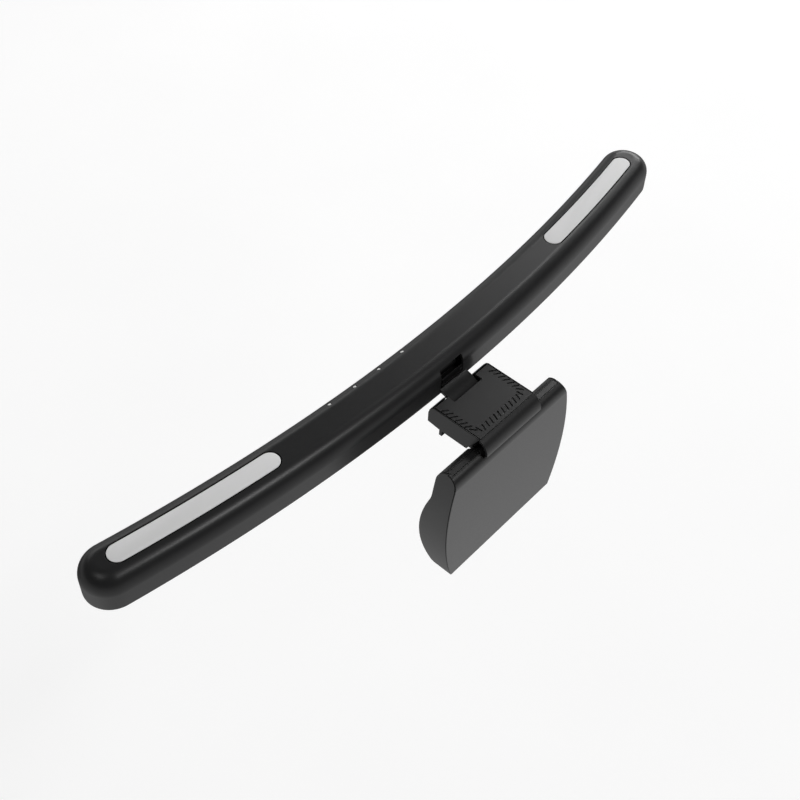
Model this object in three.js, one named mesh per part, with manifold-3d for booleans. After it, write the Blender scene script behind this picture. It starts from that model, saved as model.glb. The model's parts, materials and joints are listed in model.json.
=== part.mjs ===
// Monitor light bar: a curved lamp bar on a clip that rests on a monitor's top edge, held in balance
// by a counterweight that hangs behind the screen.
//
// Units are millimetres. +X runs along the bar, -Y points at the person at the desk, +Z is up. The
// origin is the middle of the rubber pad that rests on the monitor.
import * as THREE from "three";
import { mergeVertices } from "three/addons/utils/BufferGeometryUtils.js";
import Module from "manifold-3d";

const wasm = await Module();
wasm.setup();

// ---------------------------------------------------------------- driving dimensions

const GAP = 0.3; // between pieces that touch

// The bar is drawn in its own frame: its centre line is an arc about (0, -arcRadius).
const BAR = {
  y: -38.5,
  z: 19.7,
  length: 450,
  width: 30.3,
  height: 20.9,
  arcRadius: 1137,
  fillet: 10,
  wall: 1.6,
};
const BAR_BOTTOM = -BAR.height / 2;
const BAR_TOP = BAR.height / 2;
const BAR_INSIDE_TOP = BAR_TOP - BAR.wall;

// The backlight's window, on the bar's top, and the main light's slot, on its underside.
const WINDOW = { from: 111.2, to: 211, halfWidth: 6.15, offset: -0.3, gap: 0.35 };
const LAMP = { reach: 200, offset: -4.5, halfWidth: 6 };
const FRAME = { thickness: 1.7, inset: BAR.wall + GAP, recess: 0.2 };

const radians = THREE.MathUtils.degToRad;
const TOUCH = { first: 14.5, pitch: 18.3, count: 4, tilt: radians(27), radius: 1 };

// The tilt joint, in the bar's frame: y, z of its axis.
const TILT = { y: 7, z: -2, pinRadius: 2, knuckleRadius: 3.6, knuckleHalf: 7.6, earInner: 9.1 };
const SLOT = { halfWidth: 9.1, top: 6.4, bottom: -7.9 }; // the arm's opening in the bar's rear wall
const ARM = { y: 12.3, z: -26.8, radius: 22, thickness: 2.2, halfWidth: 10.9, neckHalf: 8.4 };

const CLIP = {
  halfWidth: 23.3,
  front: -20.1,
  top: 14,
  bottom: 0.3,
  wall: 1.6,
  crease: 15.8,
  notchHalf: 11.6,
  notchBack: -11.4,
  plate: 1.2,
  floorTop: 3.3,
};
const LIP = { front: -11.7, back: -8.5, bottom: -3.8, padThickness: 0.8 };
const PAD = { halfWidth: 19, front: -7.2, back: 6.2, thickness: 1 };

// The counterweight's hinge, in the part's frame.
const HINGE = { y: 15, z: -2, barrelRadius: 7, skin: 1.5, pinRadius: 2, knuckleRadius: 4.8 };
const WEIGHT = {
  back: 22,
  bottom: -83.5,
  halfWidth: 52.8,
  widestZ: -37.3,
  sideRadius: 150,
  bulgeRadius: 94,
  bulgeFront: 1.6,
  bulgeZ: -50,
  wall: 1.8,
  cover: 1.3,
};
const RUN_CLEARANCE = 0.06; // radial, of a pin in its hole

// Self-tapping screws: radii of their pilot hole, their clearance hole and their sunk head.
const SCREW = { pilot: 1.2, clear: 1.3, sunk: 2.1 };

// ---------------------------------------------------------------- solids from three.js geometry

// A closed three.js geometry as a solid that can be joined and cut.
function solidOf(geometry) {
  const bare = new THREE.BufferGeometry();
  bare.setAttribute("position", geometry.getAttribute("position"));
  bare.setIndex(geometry.getIndex());
  const merged = mergeVertices(bare, 1e-4);
  const index = merged.getIndex().array;
  const triVerts = [];
  for (let i = 0; i < index.length; i += 3) {
    const [a, b, c] = index.slice(i, i + 3);
    if (a !== b && b !== c && c !== a) triVerts.push(a, b, c);
  }
  return new wasm.Manifold(
    new wasm.Mesh({
      numProp: 3,
      vertProperties: merged.getAttribute("position").array,
      triVerts: new Uint32Array(triVerts),
    }),
  );
}

const join = (first, ...others) => others.reduce((all, one) => all.add(one), first);
const cut = (first, ...others) => others.reduce((all, one) => all.subtract(one), first);

function box([x0, x1], [y0, y1], [z0, z1]) {
  const geometry = new THREE.BoxGeometry(x1 - x0, y1 - y0, z1 - z0);
  return solidOf(geometry.translate((x0 + x1) / 2, (y0 + y1) / 2, (z0 + z1) / 2));
}

const AXES = {
  x: new THREE.Vector3(1, 0, 0),
  y: new THREE.Vector3(0, 1, 0),
  z: new THREE.Vector3(0, 0, 1),
};

// A round solid about a line along an axis. Its profile is a list of [radius, distance along].
function turned(axis, [x, y, z], profile, sides = 20) {
  const points = profile.map(([radius, along]) => new THREE.Vector2(radius, along));
  const geometry = new THREE.LatheGeometry(points, sides);
  const turn = new THREE.Quaternion().setFromUnitVectors(AXES.y, AXES[axis]);
  return solidOf(geometry.applyQuaternion(turn).translate(x, y, z));
}

const rod = (axis, at, radius, from, to, sides) =>
  turned(axis, at, [[0, from], [radius, from], [radius, to], [0, to]], sides);

// A shape drawn in x and y, made solid between two heights.
function prismZ(shape, z0, z1, curveSegments = 6) {
  const geometry = new THREE.ExtrudeGeometry(shape, {
    depth: z1 - z0,
    bevelEnabled: false,
    curveSegments,
  });
  return solidOf(geometry.translate(0, 0, z0));
}

// A shape drawn in y and z, made solid between two places along X.
function prismX(shape, x0, x1, curveSegments = 8) {
  const geometry = new THREE.ExtrudeGeometry(shape, {
    depth: x1 - x0,
    bevelEnabled: false,
    curveSegments,
  });
  geometry.applyMatrix4(new THREE.Matrix4().makeBasis(AXES.y, AXES.z, AXES.x));
  return solidOf(geometry.translate(x0, 0, 0));
}

// A shape drawn in x and z, made solid between two places along Y.
function prismY(shape, y0, y1, curveSegments = 8) {
  const geometry = new THREE.ExtrudeGeometry(shape, {
    depth: y1 - y0,
    bevelEnabled: false,
    curveSegments,
  });
  const towardsFront = AXES.y.clone().negate();
  geometry.applyMatrix4(new THREE.Matrix4().makeBasis(AXES.x, AXES.z, towardsFront));
  return solidOf(geometry.translate(0, y1, 0));
}

const polygon = (points) => new THREE.Shape(points.map(([u, v]) => new THREE.Vector2(u, v)));
const moved = (solid, matrix) => solid.transform(matrix.toArray());
const mirrored = (solid) => moved(solid, new THREE.Matrix4().makeScale(-1, 1, 1));

// ---------------------------------------------------------------- finishes

const finish = (color, roughness, metalness = 0) => ({ color, roughness, metalness });
const FINISHES = {
  black: finish(0x232324, 0.5),
  darkPlate: finish(0x2b2b2c, 0.55),
  weightBlack: finish(0x2e2e2f, 0.6),
  opal: finish(0xd9dad8, 0.45),
  white: finish(0xf0f0ee, 0.5),
  board: finish(0x1d4a33, 0.6),
  ledBoard: finish(0xe8e6da, 0.5),
  copperLead: finish(0xc98a3c, 0.6),
  steel: finish(0x9a9da0, 0.35, 1),
  rubber: finish(0x161616, 0.9),
  insert: finish(0x3a3a3a, 0.7),
};

// One named mesh from a solid.
function piece(name, solid, finishName) {
  const { vertProperties, triVerts, numProp } = solid.getMesh();
  const positions = new Float32Array((vertProperties.length / numProp) * 3);
  for (let i = 0; i * numProp < vertProperties.length; i++)
    positions.set(vertProperties.subarray(i * numProp, i * numProp + 3), i * 3);
  const indexed = new THREE.BufferGeometry();
  indexed.setAttribute("position", new THREE.BufferAttribute(positions, 3));
  indexed.setIndex(new THREE.BufferAttribute(triVerts, 1));
  const geometry = indexed.toNonIndexed();
  geometry.computeVertexNormals();
  const mesh = new THREE.Mesh(geometry, new THREE.MeshStandardMaterial(FINISHES[finishName]));
  mesh.name = name;
  return mesh;
}

// A screw whose head sits at the origin's +Z side and whose shank runs down -Z.
function screwSolid({ head = 2, headHeight = 1.2, shank = 1, length }) {
  const profile = [
    [0, -length],
    [shank, -length + shank],
    [shank, 0],
    [head, 0],
    [head, headHeight],
    [0, headHeight],
  ];
  const body = turned("z", [0, 0, 0], profile, 12);
  const slot = box([-head, head], [-0.3, 0.3], [headHeight - 0.5, headHeight + 1]);
  return cut(body, slot);
}

function screw(name, size, position, rotation = [0, 0, 0]) {
  const mesh = piece(name, screwSolid(size), "steel");
  mesh.position.set(...position);
  mesh.rotation.set(...rotation);
  return mesh;
}

// ---------------------------------------------------------------- the bar's curved shapes

const onArc = (s, offset = 0) => {
  const angle = s / BAR.arcRadius;
  const radius = BAR.arcRadius + offset;
  return [radius * Math.sin(angle), radius * Math.cos(angle) - BAR.arcRadius];
};

// The matrix that carries the bar's middle cross-section to arc length s.
function arcMatrix(s) {
  const [x, y] = onArc(s);
  return new THREE.Matrix4().makeTranslation(x, y, 0).multiply(
    new THREE.Matrix4().makeRotationZ(-s / BAR.arcRadius),
  );
}

// A band along the arc between two arc lengths. Its ends are half circles when round is true.
function arcBand({ from, to, halfWidth, offset = 0, round = true }) {
  const radius = BAR.arcRadius + offset;
  const inset = round ? halfWidth : 0;
  const a0 = Math.PI / 2 - (from + inset) / BAR.arcRadius;
  const a1 = Math.PI / 2 - (to - inset) / BAR.arcRadius;
  const end = (angle) => [
    radius * Math.cos(angle),
    radius * Math.sin(angle) - BAR.arcRadius,
  ];
  const shape = new THREE.Shape();
  shape.absarc(0, -BAR.arcRadius, radius + halfWidth, a1, a0, false);
  if (round) shape.absarc(...end(a0), halfWidth, a0, a0 + Math.PI, false);
  shape.absarc(0, -BAR.arcRadius, radius - halfWidth, a0, a1, true);
  if (round) shape.absarc(...end(a1), halfWidth, a1 + Math.PI, a1 + 2 * Math.PI, false);
  shape.closePath();
  return shape;
}

// Arc length of the bar's tip: the centre of its round end lies half a width in from the end.
const END_ANGLE = Math.asin((BAR.length / 2 - BAR.width / 2) / BAR.arcRadius);
const TIP = END_ANGLE * BAR.arcRadius + BAR.width / 2;
const OUTLINE_SEGMENTS = 8;

// The bar's outer form, shrunk by an inset all round, with its top edge rounded.
function barForm(inset, bottom) {
  const fillet = BAR.fillet - inset;
  const top = BAR_TOP - inset;
  const outline = arcBand({
    from: -TIP + inset,
    to: TIP - inset,
    halfWidth: BAR.width / 2 - inset,
  });
  const geometry = new THREE.ExtrudeGeometry(outline, {
    depth: top - fillet - bottom,
    curveSegments: OUTLINE_SEGMENTS,
    bevelSize: fillet,
    bevelThickness: fillet,
    bevelOffset: -fillet,
    bevelSegments: 5,
  });
  const both = solidOf(geometry.translate(0, 0, bottom));
  const below = box([-BAR.length, BAR.length], [-60, 60], [bottom - 2 * BAR.height, bottom]);
  return cut(both, below);
}

// ---------------------------------------------------------------- light bar

const touchSpots = Array.from({ length: TOUCH.count }, (_, i) => TOUCH.first + i * TOUCH.pitch);
const touchSurface = [
  -(BAR.width / 2 - BAR.fillet) - BAR.fillet * Math.sin(TOUCH.tilt),
  BAR_TOP - BAR.fillet + BAR.fillet * Math.cos(TOUCH.tilt),
];

// The frame of a touch mark: its +Z leaves the bar's surface at right angles.
const touchMatrix = (s) =>
  arcMatrix(s)
    .multiply(new THREE.Matrix4().makeTranslation(0, ...touchSurface))
    .multiply(new THREE.Matrix4().makeRotationX(TOUCH.tilt));

const FRAME_SCREWS = [-202, -140, -78, 78, 140, 202];
const FRAME_SCREW_OFFSET = 9.5;
const FRAME_SINK = 0.9;
const BRACKET_SCREW = { x: 14.5, y: 5.5, bossBottom: 5 };
const TOUCH_BOARD = { middle: 42, halfLength: 34, halfWidth: 3.5, depth: 4.4, thickness: 1 };
const LIGHT_BOX = { halfWidth: 6.5, wall: 0.9, roof: 0.9, bottom: 4.2, top: 8.5, faceDrop: 0.05 };

const FRAME_BOSS = { radius: 2.6, top: 7.6, lift: 0.5 };
const BRACKET_BOSS = { radius: 2.8, overlap: 0.4 };
const TOUCH_POST = { radius: 1.4, fromEnd: 3 };
const TOUCH_BORE = TOUCH.radius + 0.15;

function barHousing() {
  let housing = cut(barForm(0, BAR_BOTTOM), barForm(BAR.wall, BAR_BOTTOM - 1));
  for (const s of FRAME_SCREWS) {
    const at = [...onArc(s, FRAME_SCREW_OFFSET), 0];
    const bossLow = BAR_BOTTOM + FRAME.thickness + FRAME_BOSS.lift;
    const boss = rod("z", at, FRAME_BOSS.radius, bossLow, FRAME_BOSS.top, 14);
    housing = cut(join(housing, boss), rod("z", at, SCREW.pilot, BAR_BOTTOM, 0, 12));
  }
  for (const side of [-1, 1]) {
    const at = [side * BRACKET_SCREW.x, BRACKET_SCREW.y, 0];
    const low = BRACKET_SCREW.bossBottom;
    const boss = rod("z", at, BRACKET_BOSS.radius, low, BAR_INSIDE_TOP + BRACKET_BOSS.overlap, 14);
    housing = cut(join(housing, boss), rod("z", at, SCREW.pilot, low - 1, BAR_INSIDE_TOP - GAP, 12));
  }
  const windowHole = prismZ(arcBand(WINDOW), LIGHT_BOX.bottom, BAR_TOP + 1, 4);
  housing = cut(housing, windowHole, mirrored(windowHole));
  for (const s of touchSpots) {
    housing = cut(housing, moved(rod("z", [0, 0, 0], TOUCH_BORE, -4, 1, 14), touchMatrix(s)));
  }
  for (const end of [-1, 1]) {
    const s = TOUCH_BOARD.middle + end * (TOUCH_BOARD.halfLength - TOUCH_POST.fromEnd);
    const postLow = -TOUCH_BOARD.depth + GAP;
    const post = rod("z", [0, 0, 0], TOUCH_POST.radius, postLow, -BAR.wall / 2, 10);
    housing = join(housing, moved(post, touchMatrix(s)));
  }
  const rearWall = [10, 20];
  const armSlot = box([-SLOT.halfWidth, SLOT.halfWidth], rearWall, [SLOT.bottom, SLOT.top]);
  return cut(housing, armSlot);
}

const USB = { s: 42, y: 7.2, halfX: 4.5, halfY: 1.65, wall: 0.35, roof: 0.8, bottom: -10.2 };
const USB_BLADE = { halfX: 3.3, halfY: 0.35, setBack: 0.8, base: 2, room: 0.15 };
const CONTROL = { x: [20, 62], y: [1.6, 10.4], z: [-1.5, -0.3] };

// A flat slot outline with round ends, centred on a point, long in x.
function capsule(x, y, halfLength, radius) {
  const reach = halfLength - radius;
  const shape = new THREE.Shape();
  shape.absarc(x + reach, y, radius, -Math.PI / 2, Math.PI / 2, false);
  shape.absarc(x - reach, y, radius, Math.PI / 2, (3 * Math.PI) / 2, false);
  shape.closePath();
  return shape;
}

const CONTROL_POST = { x: [27, 57], y: 6, radius: 1.8 };

function bottomFrame() {
  const outline = arcBand({
    from: -TIP + FRAME.inset,
    to: TIP - FRAME.inset,
    halfWidth: BAR.width / 2 - FRAME.inset,
  });
  const low = BAR_BOTTOM + FRAME.recess;
  const high = BAR_BOTTOM + FRAME.thickness;
  let frame = prismZ(outline, low, high, OUTLINE_SEGMENTS);
  const lampHole = arcBand({ ...LAMP, from: -LAMP.reach, to: LAMP.reach });
  frame = cut(frame, prismZ(lampHole, low - 1, high + 1));
  for (const s of FRAME_SCREWS) {
    const at = [...onArc(s, FRAME_SCREW_OFFSET), 0];
    const sink = rod("z", at, SCREW.sunk, low - 1, low + FRAME_SINK, 14);
    frame = cut(frame, sink, rod("z", at, SCREW.clear, low - 1, high + 1, 12));
  }
  for (const x of CONTROL_POST.x) {
    const top = CONTROL.z[0] - GAP;
    frame = join(frame, rod("z", [x, CONTROL_POST.y, 0], CONTROL_POST.radius, low + 0.5, top, 12));
  }
  const room = 0.25;
  const mouth = capsule(USB.s, USB.y, USB.halfX + room, USB.halfY + room);
  return cut(frame, prismZ(mouth, low - 1, high + 1, 3));
}

// An opal window with a wider flange behind its slot, and a skirt that makes a box behind it.
const LAMP_FLANGE = { margin: 1, thickness: 0.9 };

function mainDiffuser() {
  const face = arcBand({
    from: -LAMP.reach + GAP,
    to: LAMP.reach - GAP,
    offset: LAMP.offset,
    halfWidth: LAMP.halfWidth - GAP,
  });
  const flange = arcBand({
    from: -LAMP.reach - LAMP_FLANGE.margin,
    to: LAMP.reach + LAMP_FLANGE.margin,
    offset: LAMP.offset,
    halfWidth: LAMP.halfWidth + LAMP_FLANGE.margin,
  });
  const low = BAR_BOTTOM + FRAME.thickness + GAP;
  const high = low + LAMP_FLANGE.thickness;
  return join(prismZ(face, BAR_BOTTOM + GAP, high - GAP), prismZ(flange, low, high));
}

const REFLECTOR = { bottom: -7.2, top: -2, halfWidth: 6.5, wall: 0.8, slotHalf: 2 };

function mainReflector() {
  const band = (halfWidth, reach, round = false) =>
    arcBand({ from: -reach, to: reach, offset: LAMP.offset, halfWidth, round });
  const outside = prismZ(band(REFLECTOR.halfWidth, 199), REFLECTOR.bottom, REFLECTOR.top);
  const inside = band(REFLECTOR.halfWidth - REFLECTOR.wall, 198);
  const slot = band(REFLECTOR.slotHalf, 197);
  return cut(
    outside,
    prismZ(inside, REFLECTOR.bottom - 1, REFLECTOR.top - REFLECTOR.wall),
    prismZ(slot, REFLECTOR.bottom, REFLECTOR.top + 1),
  );
}

function mainLedBoard() {
  const band = (halfWidth, reach) =>
    arcBand({ from: -reach, to: reach, offset: LAMP.offset, halfWidth, round: false });
  return join(
    prismZ(band(4.5, 198), REFLECTOR.top + GAP, REFLECTOR.top + GAP + 1.2),
    prismZ(band(1.5, 196), REFLECTOR.top - 0.5, REFLECTOR.top + GAP + 0.5),
  );
}

function backlightDiffuser() {
  const band = (inset) =>
    arcBand({
      from: WINDOW.from + inset,
      to: WINDOW.to - inset,
      halfWidth: WINDOW.halfWidth - inset,
      offset: WINDOW.offset,
    });
  const { wall, roof, bottom, top, faceDrop } = LIGHT_BOX;
  const outer = WINDOW.halfWidth - LIGHT_BOX.halfWidth;
  const face = prismZ(band(WINDOW.gap), top - roof / 2, BAR_TOP - faceDrop, 4);
  const skirt = prismZ(band(outer), bottom, top, 4);
  const hollow = prismZ(band(outer + wall), bottom - 1, top - roof, 4);
  return cut(join(face, skirt), hollow);
}

const LED = { count: 8, half: 1.5, height: 0.7, fromEnd: 8 };

function backlightBoard() {
  const top = LIGHT_BOX.bottom - GAP;
  const outline = arcBand({
    from: WINDOW.from + 1,
    to: WINDOW.to - 1,
    halfWidth: LIGHT_BOX.halfWidth - 1,
    offset: WINDOW.offset,
    round: false,
  });
  let board = prismZ(outline, top - 1, top, 4);
  const first = WINDOW.from + LED.fromEnd;
  const last = WINDOW.to - LED.fromEnd;
  for (let i = 0; i < LED.count; i++) {
    const s = THREE.MathUtils.lerp(first, last, i / (LED.count - 1));
    const square = [-LED.half, LED.half];
    const led = box(square, square, [top - 0.4, top + LED.height]);
    board = join(board, moved(led, arcMatrix(s)));
  }
  return board;
}

function ribbonLead(from, to) {
  return prismZ(arcBand({ from, to, offset: 0.5, halfWidth: 1.5, round: false }), 2.1, 2.6);
}

function controlBoard() {
  const top = CONTROL.z[1];
  const board = box(CONTROL.x, CONTROL.y, CONTROL.z);
  const part = (x, y, halfX, halfY, height) =>
    box([x - halfX, x + halfX], [y - halfY, y + halfY], [top - 0.4, top + height]);
  return join(
    board,
    part(40, 6, 3.5, 3.5, 1),
    part(50, 5, 2, 1.5, 1.2),
    part(31, 7, 1.5, 2.2, 1),
    part(22.5, 3.6, 2, 1.8, 1.9),
    part(59.5, 3.6, 2, 1.8, 1.9),
  );
}

function touchBoard() {
  const { halfLength, halfWidth, depth, thickness } = TOUCH_BOARD;
  const lies = [-depth - thickness, -depth];
  const board = box([-halfLength, halfLength], [-halfWidth, halfWidth], lies);
  return moved(board, touchMatrix(TOUCH_BOARD.middle));
}

function usbShell() {
  const { s, y, halfX, halfY, wall, roof, bottom } = USB;
  const top = CONTROL.z[0] - GAP;
  const outside = prismZ(capsule(s, y, halfX, halfY), bottom, top, 3);
  const inside = prismZ(capsule(s, y, halfX - wall, halfY - wall), bottom - 1, top - roof, 3);
  return cut(outside, inside);
}

function usbTongue() {
  const { s, y, halfX, halfY, wall, roof, bottom } = USB;
  const { room, base, setBack } = USB_BLADE;
  const top = CONTROL.z[0] - GAP - roof - room;
  const foot = capsule(s, y, halfX - wall - room, halfY - wall - room);
  const blade = box(
    [s - USB_BLADE.halfX, s + USB_BLADE.halfX],
    [y - USB_BLADE.halfY, y + USB_BLADE.halfY],
    [bottom + setBack, top - base / 2],
  );
  return join(prismZ(foot, top - base, top, 3), blade);
}

// ---------------------------------------------------------------- tilt joint

const WASHER = { thickness: 0.9, radius: 3.3 };
const EAR = { thickness: 1.2, radius: 3.8, outer: TILT.earInner + 1.2 };
const BRACKET = { halfX: 17.5, y: [2.6, 9], thickness: 1.2 };
const TILT_PIN = { head: 3.2, headLength: 1.6, chamfer: 0.6, end: 13.4 };
const LOCK_NUT = { radius: 3.6, length: 2.2 };
const ARM_SCREW = { x: 6, y: -1.5 };
const SHIELD = { outer: 8.1, inner: 7.4, low: radians(-27), high: radians(14) };
const WEB = { half: 2.4, bottom: -5.9, top: -3 };
const FOOT = { thickness: 2, length: 11 };

const tiltAxis = [0, TILT.y, TILT.z];
const pinHole = TILT.pinRadius + RUN_CLEARANCE;

function tiltBracket() {
  const plateHigh = BRACKET_SCREW.bossBottom - GAP;
  const plateLow = plateHigh - BRACKET.thickness;
  const earShape = new THREE.Shape();
  earShape.moveTo(TILT.y + EAR.radius, plateHigh);
  earShape.lineTo(TILT.y - EAR.radius, plateHigh);
  earShape.absarc(TILT.y, TILT.z, EAR.radius, Math.PI, 2 * Math.PI, false);
  earShape.closePath();
  let bracket = box([-BRACKET.halfX, BRACKET.halfX], BRACKET.y, [plateLow, plateHigh]);
  for (const side of [-1, 1]) {
    const [x0, x1] = [side * TILT.earInner, side * EAR.outer].sort((a, b) => a - b);
    bracket = join(bracket, prismX(earShape, x0, x1, 6));
    const at = [side * BRACKET_SCREW.x, BRACKET_SCREW.y, 0];
    bracket = cut(bracket, rod("z", at, SCREW.clear, plateLow - 1, plateHigh + 1, 12));
  }
  return cut(bracket, rod("x", tiltAxis, pinHole, -20, 20));
}

function tiltPin() {
  const { head, headLength, chamfer, end } = TILT_PIN;
  const underHead = -EAR.outer - GAP;
  return turned("x", tiltAxis, [
    [0, underHead - headLength],
    [head - chamfer, underHead - headLength],
    [head, underHead - headLength + chamfer],
    [head, underHead],
    [TILT.pinRadius, underHead],
    [TILT.pinRadius, end],
    [0, end],
  ]);
}

function ring(axis, at, inner, outer, from, to, sides) {
  const body = rod(axis, at, outer, from, to, sides);
  return cut(body, rod(axis, at, inner, from - 1, to + 1));
}

// A stretch of the arm's bent sheet between two places in y.
function armStrip(yStart, yEnd) {
  const inner = ARM.radius - ARM.thickness;
  const angle = (y, radius) => Math.PI / 2 - Math.asin((y - ARM.y) / radius);
  const end = angle(yEnd, ARM.radius);
  const shape = new THREE.Shape();
  shape.absarc(ARM.y, ARM.z, ARM.radius, end, angle(yStart, ARM.radius), false);
  shape.absarc(ARM.y, ARM.z, inner, angle(yStart, inner), end, true);
  shape.closePath();
  return shape;
}

// The arm: a knuckle inside the bar, a neck with a curved shield that fills the slot above it, and a
// wide tongue that bends down through the clip's notch to a foot on the clip's floor.
function tiltArm() {
  const footLow = CLIP.floorTop + GAP - BAR.z;
  const footTop = footLow + FOOT.thickness;
  const footEnd = ARM.y + Math.sqrt(ARM.radius ** 2 - (footTop - ARM.z) ** 2);
  const wide = [-ARM.halfWidth, ARM.halfWidth];
  const narrow = [-ARM.neckHalf, ARM.neckHalf];
  const knuckle = [-TILT.knuckleHalf, TILT.knuckleHalf];
  const web = polygon([
    [TILT.y - WEB.half, WEB.bottom],
    [TILT.y + WEB.half, WEB.bottom],
    [TILT.y + WEB.half, WEB.top],
    [TILT.y - WEB.half, WEB.top],
  ]);
  const shield = new THREE.Shape();
  shield.absarc(TILT.y, TILT.z, SHIELD.outer, SHIELD.low, SHIELD.high, false);
  shield.absarc(TILT.y, TILT.z, SHIELD.inner, SHIELD.high, SHIELD.low, true);
  shield.closePath();
  let arm = join(
    rod("x", tiltAxis, TILT.knuckleRadius, ...knuckle),
    prismX(web, ...knuckle),
    prismX(armStrip(5, 16.4), ...narrow, 4),
    prismX(shield, ...narrow, 3),
    prismX(armStrip(15.7, footEnd), ...wide, 6),
    box(wide, [footEnd - ARM.thickness, footEnd + FOOT.length], [footLow, footTop]),
  );
  for (const side of [-1, 1]) {
    const at = [side * ARM_SCREW.x, ARM_SCREW.y - BAR.y, 0];
    arm = cut(arm, rod("z", at, SCREW.clear, footLow - 1, footTop + 1, 12));
  }
  return cut(arm, rod("x", tiltAxis, pinHole, -20, 20));
}

function lockNut() {
  const from = EAR.outer + GAP;
  return ring("x", tiltAxis, pinHole, LOCK_NUT.radius, from, from + LOCK_NUT.length, 6);
}

// ---------------------------------------------------------------- clip

const BASE_CHAMFER = [[CLIP.front, 8.2], [-19.4, 11], [-17.9, 13.1], [-16.4, CLIP.top]];
const HOOD = { radius: 7, skin: 1.6, lowEdge: 4.5, flangeFront: 6.5, flangeTop: 12.5, flange: 1.3 };
const HOOD_SINK = { radius: 2.3, depth: 0.5 };
const BARREL_CLEARANCE = 0.6;
const NECK_ANGLES = [radians(133), radians(163)];
const HOOD_SCREW = { x: 17.5, y: 9 };
const HOOD_BOSS = { radius: 2.4, low: 5 };
const REAR_EDGE = 0.8; // height of the clip's rear edge below its hood

// What is hollow inside the clip, in y and z: open at the top, where the cover and the hood lie.
const CLIP_ROOM = [
  [CLIP.front + CLIP.wall, CLIP.floorTop],
  [5.4, CLIP.floorTop],
  [8.6, 5.6],
  [CLIP.crease + 1, 15],
  [CLIP.crease + 1, 20],
  [-15.4, 20],
  [CLIP.front + CLIP.wall, 9],
];

// The side of the clip in y and z. Its rear edge runs round the counterweight's barrel, then slopes
// up to the hood.
function clipSide() {
  const shape = new THREE.Shape();
  const round = HINGE.barrelRadius + BARREL_CLEARANCE;
  shape.moveTo(CLIP.front, 1.2);
  shape.lineTo(LIP.front, CLIP.bottom);
  const rise = Math.asin((CLIP.bottom - HINGE.z) / round);
  shape.absarc(HINGE.y, HINGE.z, round, Math.PI - rise, NECK_ANGLES[0], true);
  shape.lineTo(CLIP.crease - GAP, CLIP.top - REAR_EDGE);
  shape.lineTo(CLIP.crease - GAP, CLIP.top);
  for (const [y, z] of [...BASE_CHAMFER].reverse()) shape.lineTo(y, z);
  shape.closePath();
  return shape;
}

function clipBase() {
  const w = CLIP.halfWidth;
  const inner = w - CLIP.wall;
  const rear = CLIP.crease + 1;
  const above = CLIP.top + 1;
  const hoodSeat = HOOD.flangeTop - HOOD.flange - GAP;
  const lip = box([-w, w], [LIP.front, LIP.back - LIP.padThickness - GAP], [LIP.bottom, 1]);
  const ledge = [CLIP.top - CLIP.plate - GAP, above];
  const notch = [-CLIP.notchHalf, CLIP.notchHalf];
  let base = cut(
    join(prismX(clipSide(), -w, w, 5), lip),
    prismX(polygon(CLIP_ROOM), -inner, inner),
    box([-inner - 1, inner + 1], [-16.5, rear], ledge),
    box(notch, [CLIP.front - 1, -15], [HOOD_BOSS.low, above]),
    box([-inner, inner], [HOOD_BOSS.low, rear], [hoodSeat, above]),
    box(
      [-PAD.halfWidth - GAP, PAD.halfWidth + GAP],
      [PAD.front - GAP, PAD.back + GAP],
      [CLIP.bottom - 1, PAD.thickness + GAP],
    ),
  );

  // The neck reaches into the barrel, to the knuckle that carries the hinge pin.
  const [a0, a1] = NECK_ANGLES;
  const reach = HINGE.barrelRadius + BARREL_CLEARANCE + 0.5;
  const root = 3;
  const polar = (radius, angle) => [
    HINGE.y + radius * Math.cos(angle),
    HINGE.z + radius * Math.sin(angle),
  ];
  const neck = polygon([polar(root, a0), polar(reach, a0), polar(reach, a1), polar(root, a1)]);
  const knuckle = [-inner + 0.4, inner - 0.4];
  const hingeAt = [0, HINGE.y, HINGE.z];
  base = join(
    base,
    prismX(neck, ...knuckle),
    rod("x", hingeAt, HINGE.knuckleRadius, ...knuckle),
  );
  for (const side of [-1, 1]) {
    const at = [side * HOOD_SCREW.x, HOOD_SCREW.y, 0];
    const { radius, low } = HOOD_BOSS;
    const web = box(
      [at[0] - radius, at[0] + radius],
      [at[1] - 2, at[1] + 1],
      [low - 1, low + radius],
    );
    base = join(base, rod("z", at, radius, low, hoodSeat, 14), web);
    base = cut(base, rod("z", at, SCREW.pilot, low + 2, hoodSeat + 1, 12));
    const armScrew = [side * ARM_SCREW.x, ARM_SCREW.y, 0];
    base = cut(base, rod("z", armScrew, SCREW.pilot, PAD.thickness + 3 * GAP, CLIP.floorTop + 1, 12));
  }
  return cut(base, rod("x", hingeAt, HINGE.pinRadius + RUN_CLEARANCE, -30, 30));
}

const GROOVE = { halfLength: 2.2, radius: 0.4, depth: 0.35, pitch: 3.27, firstY: -11 };

// Where the slanted grooves lie on the cover, as [x, y, angle]: two side rows and a rear row.
function grooves() {
  const { pitch, firstY } = GROOVE;
  const places = [];
  for (const side of [-1, 1]) {
    for (let i = 0; i < 6; i++) places.push([side * 20.2, firstY + i * pitch, radians(147)]);
    places.push([side * 20, firstY + 6 * pitch, radians(124)]);
    places.push([side * 17.6, 10.6, radians(96)]);
  }
  for (let i = 0; i < 10; i++) places.push([(i - 4.5) * pitch, 11.5, radians(69)]);
  return places;
}

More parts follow.
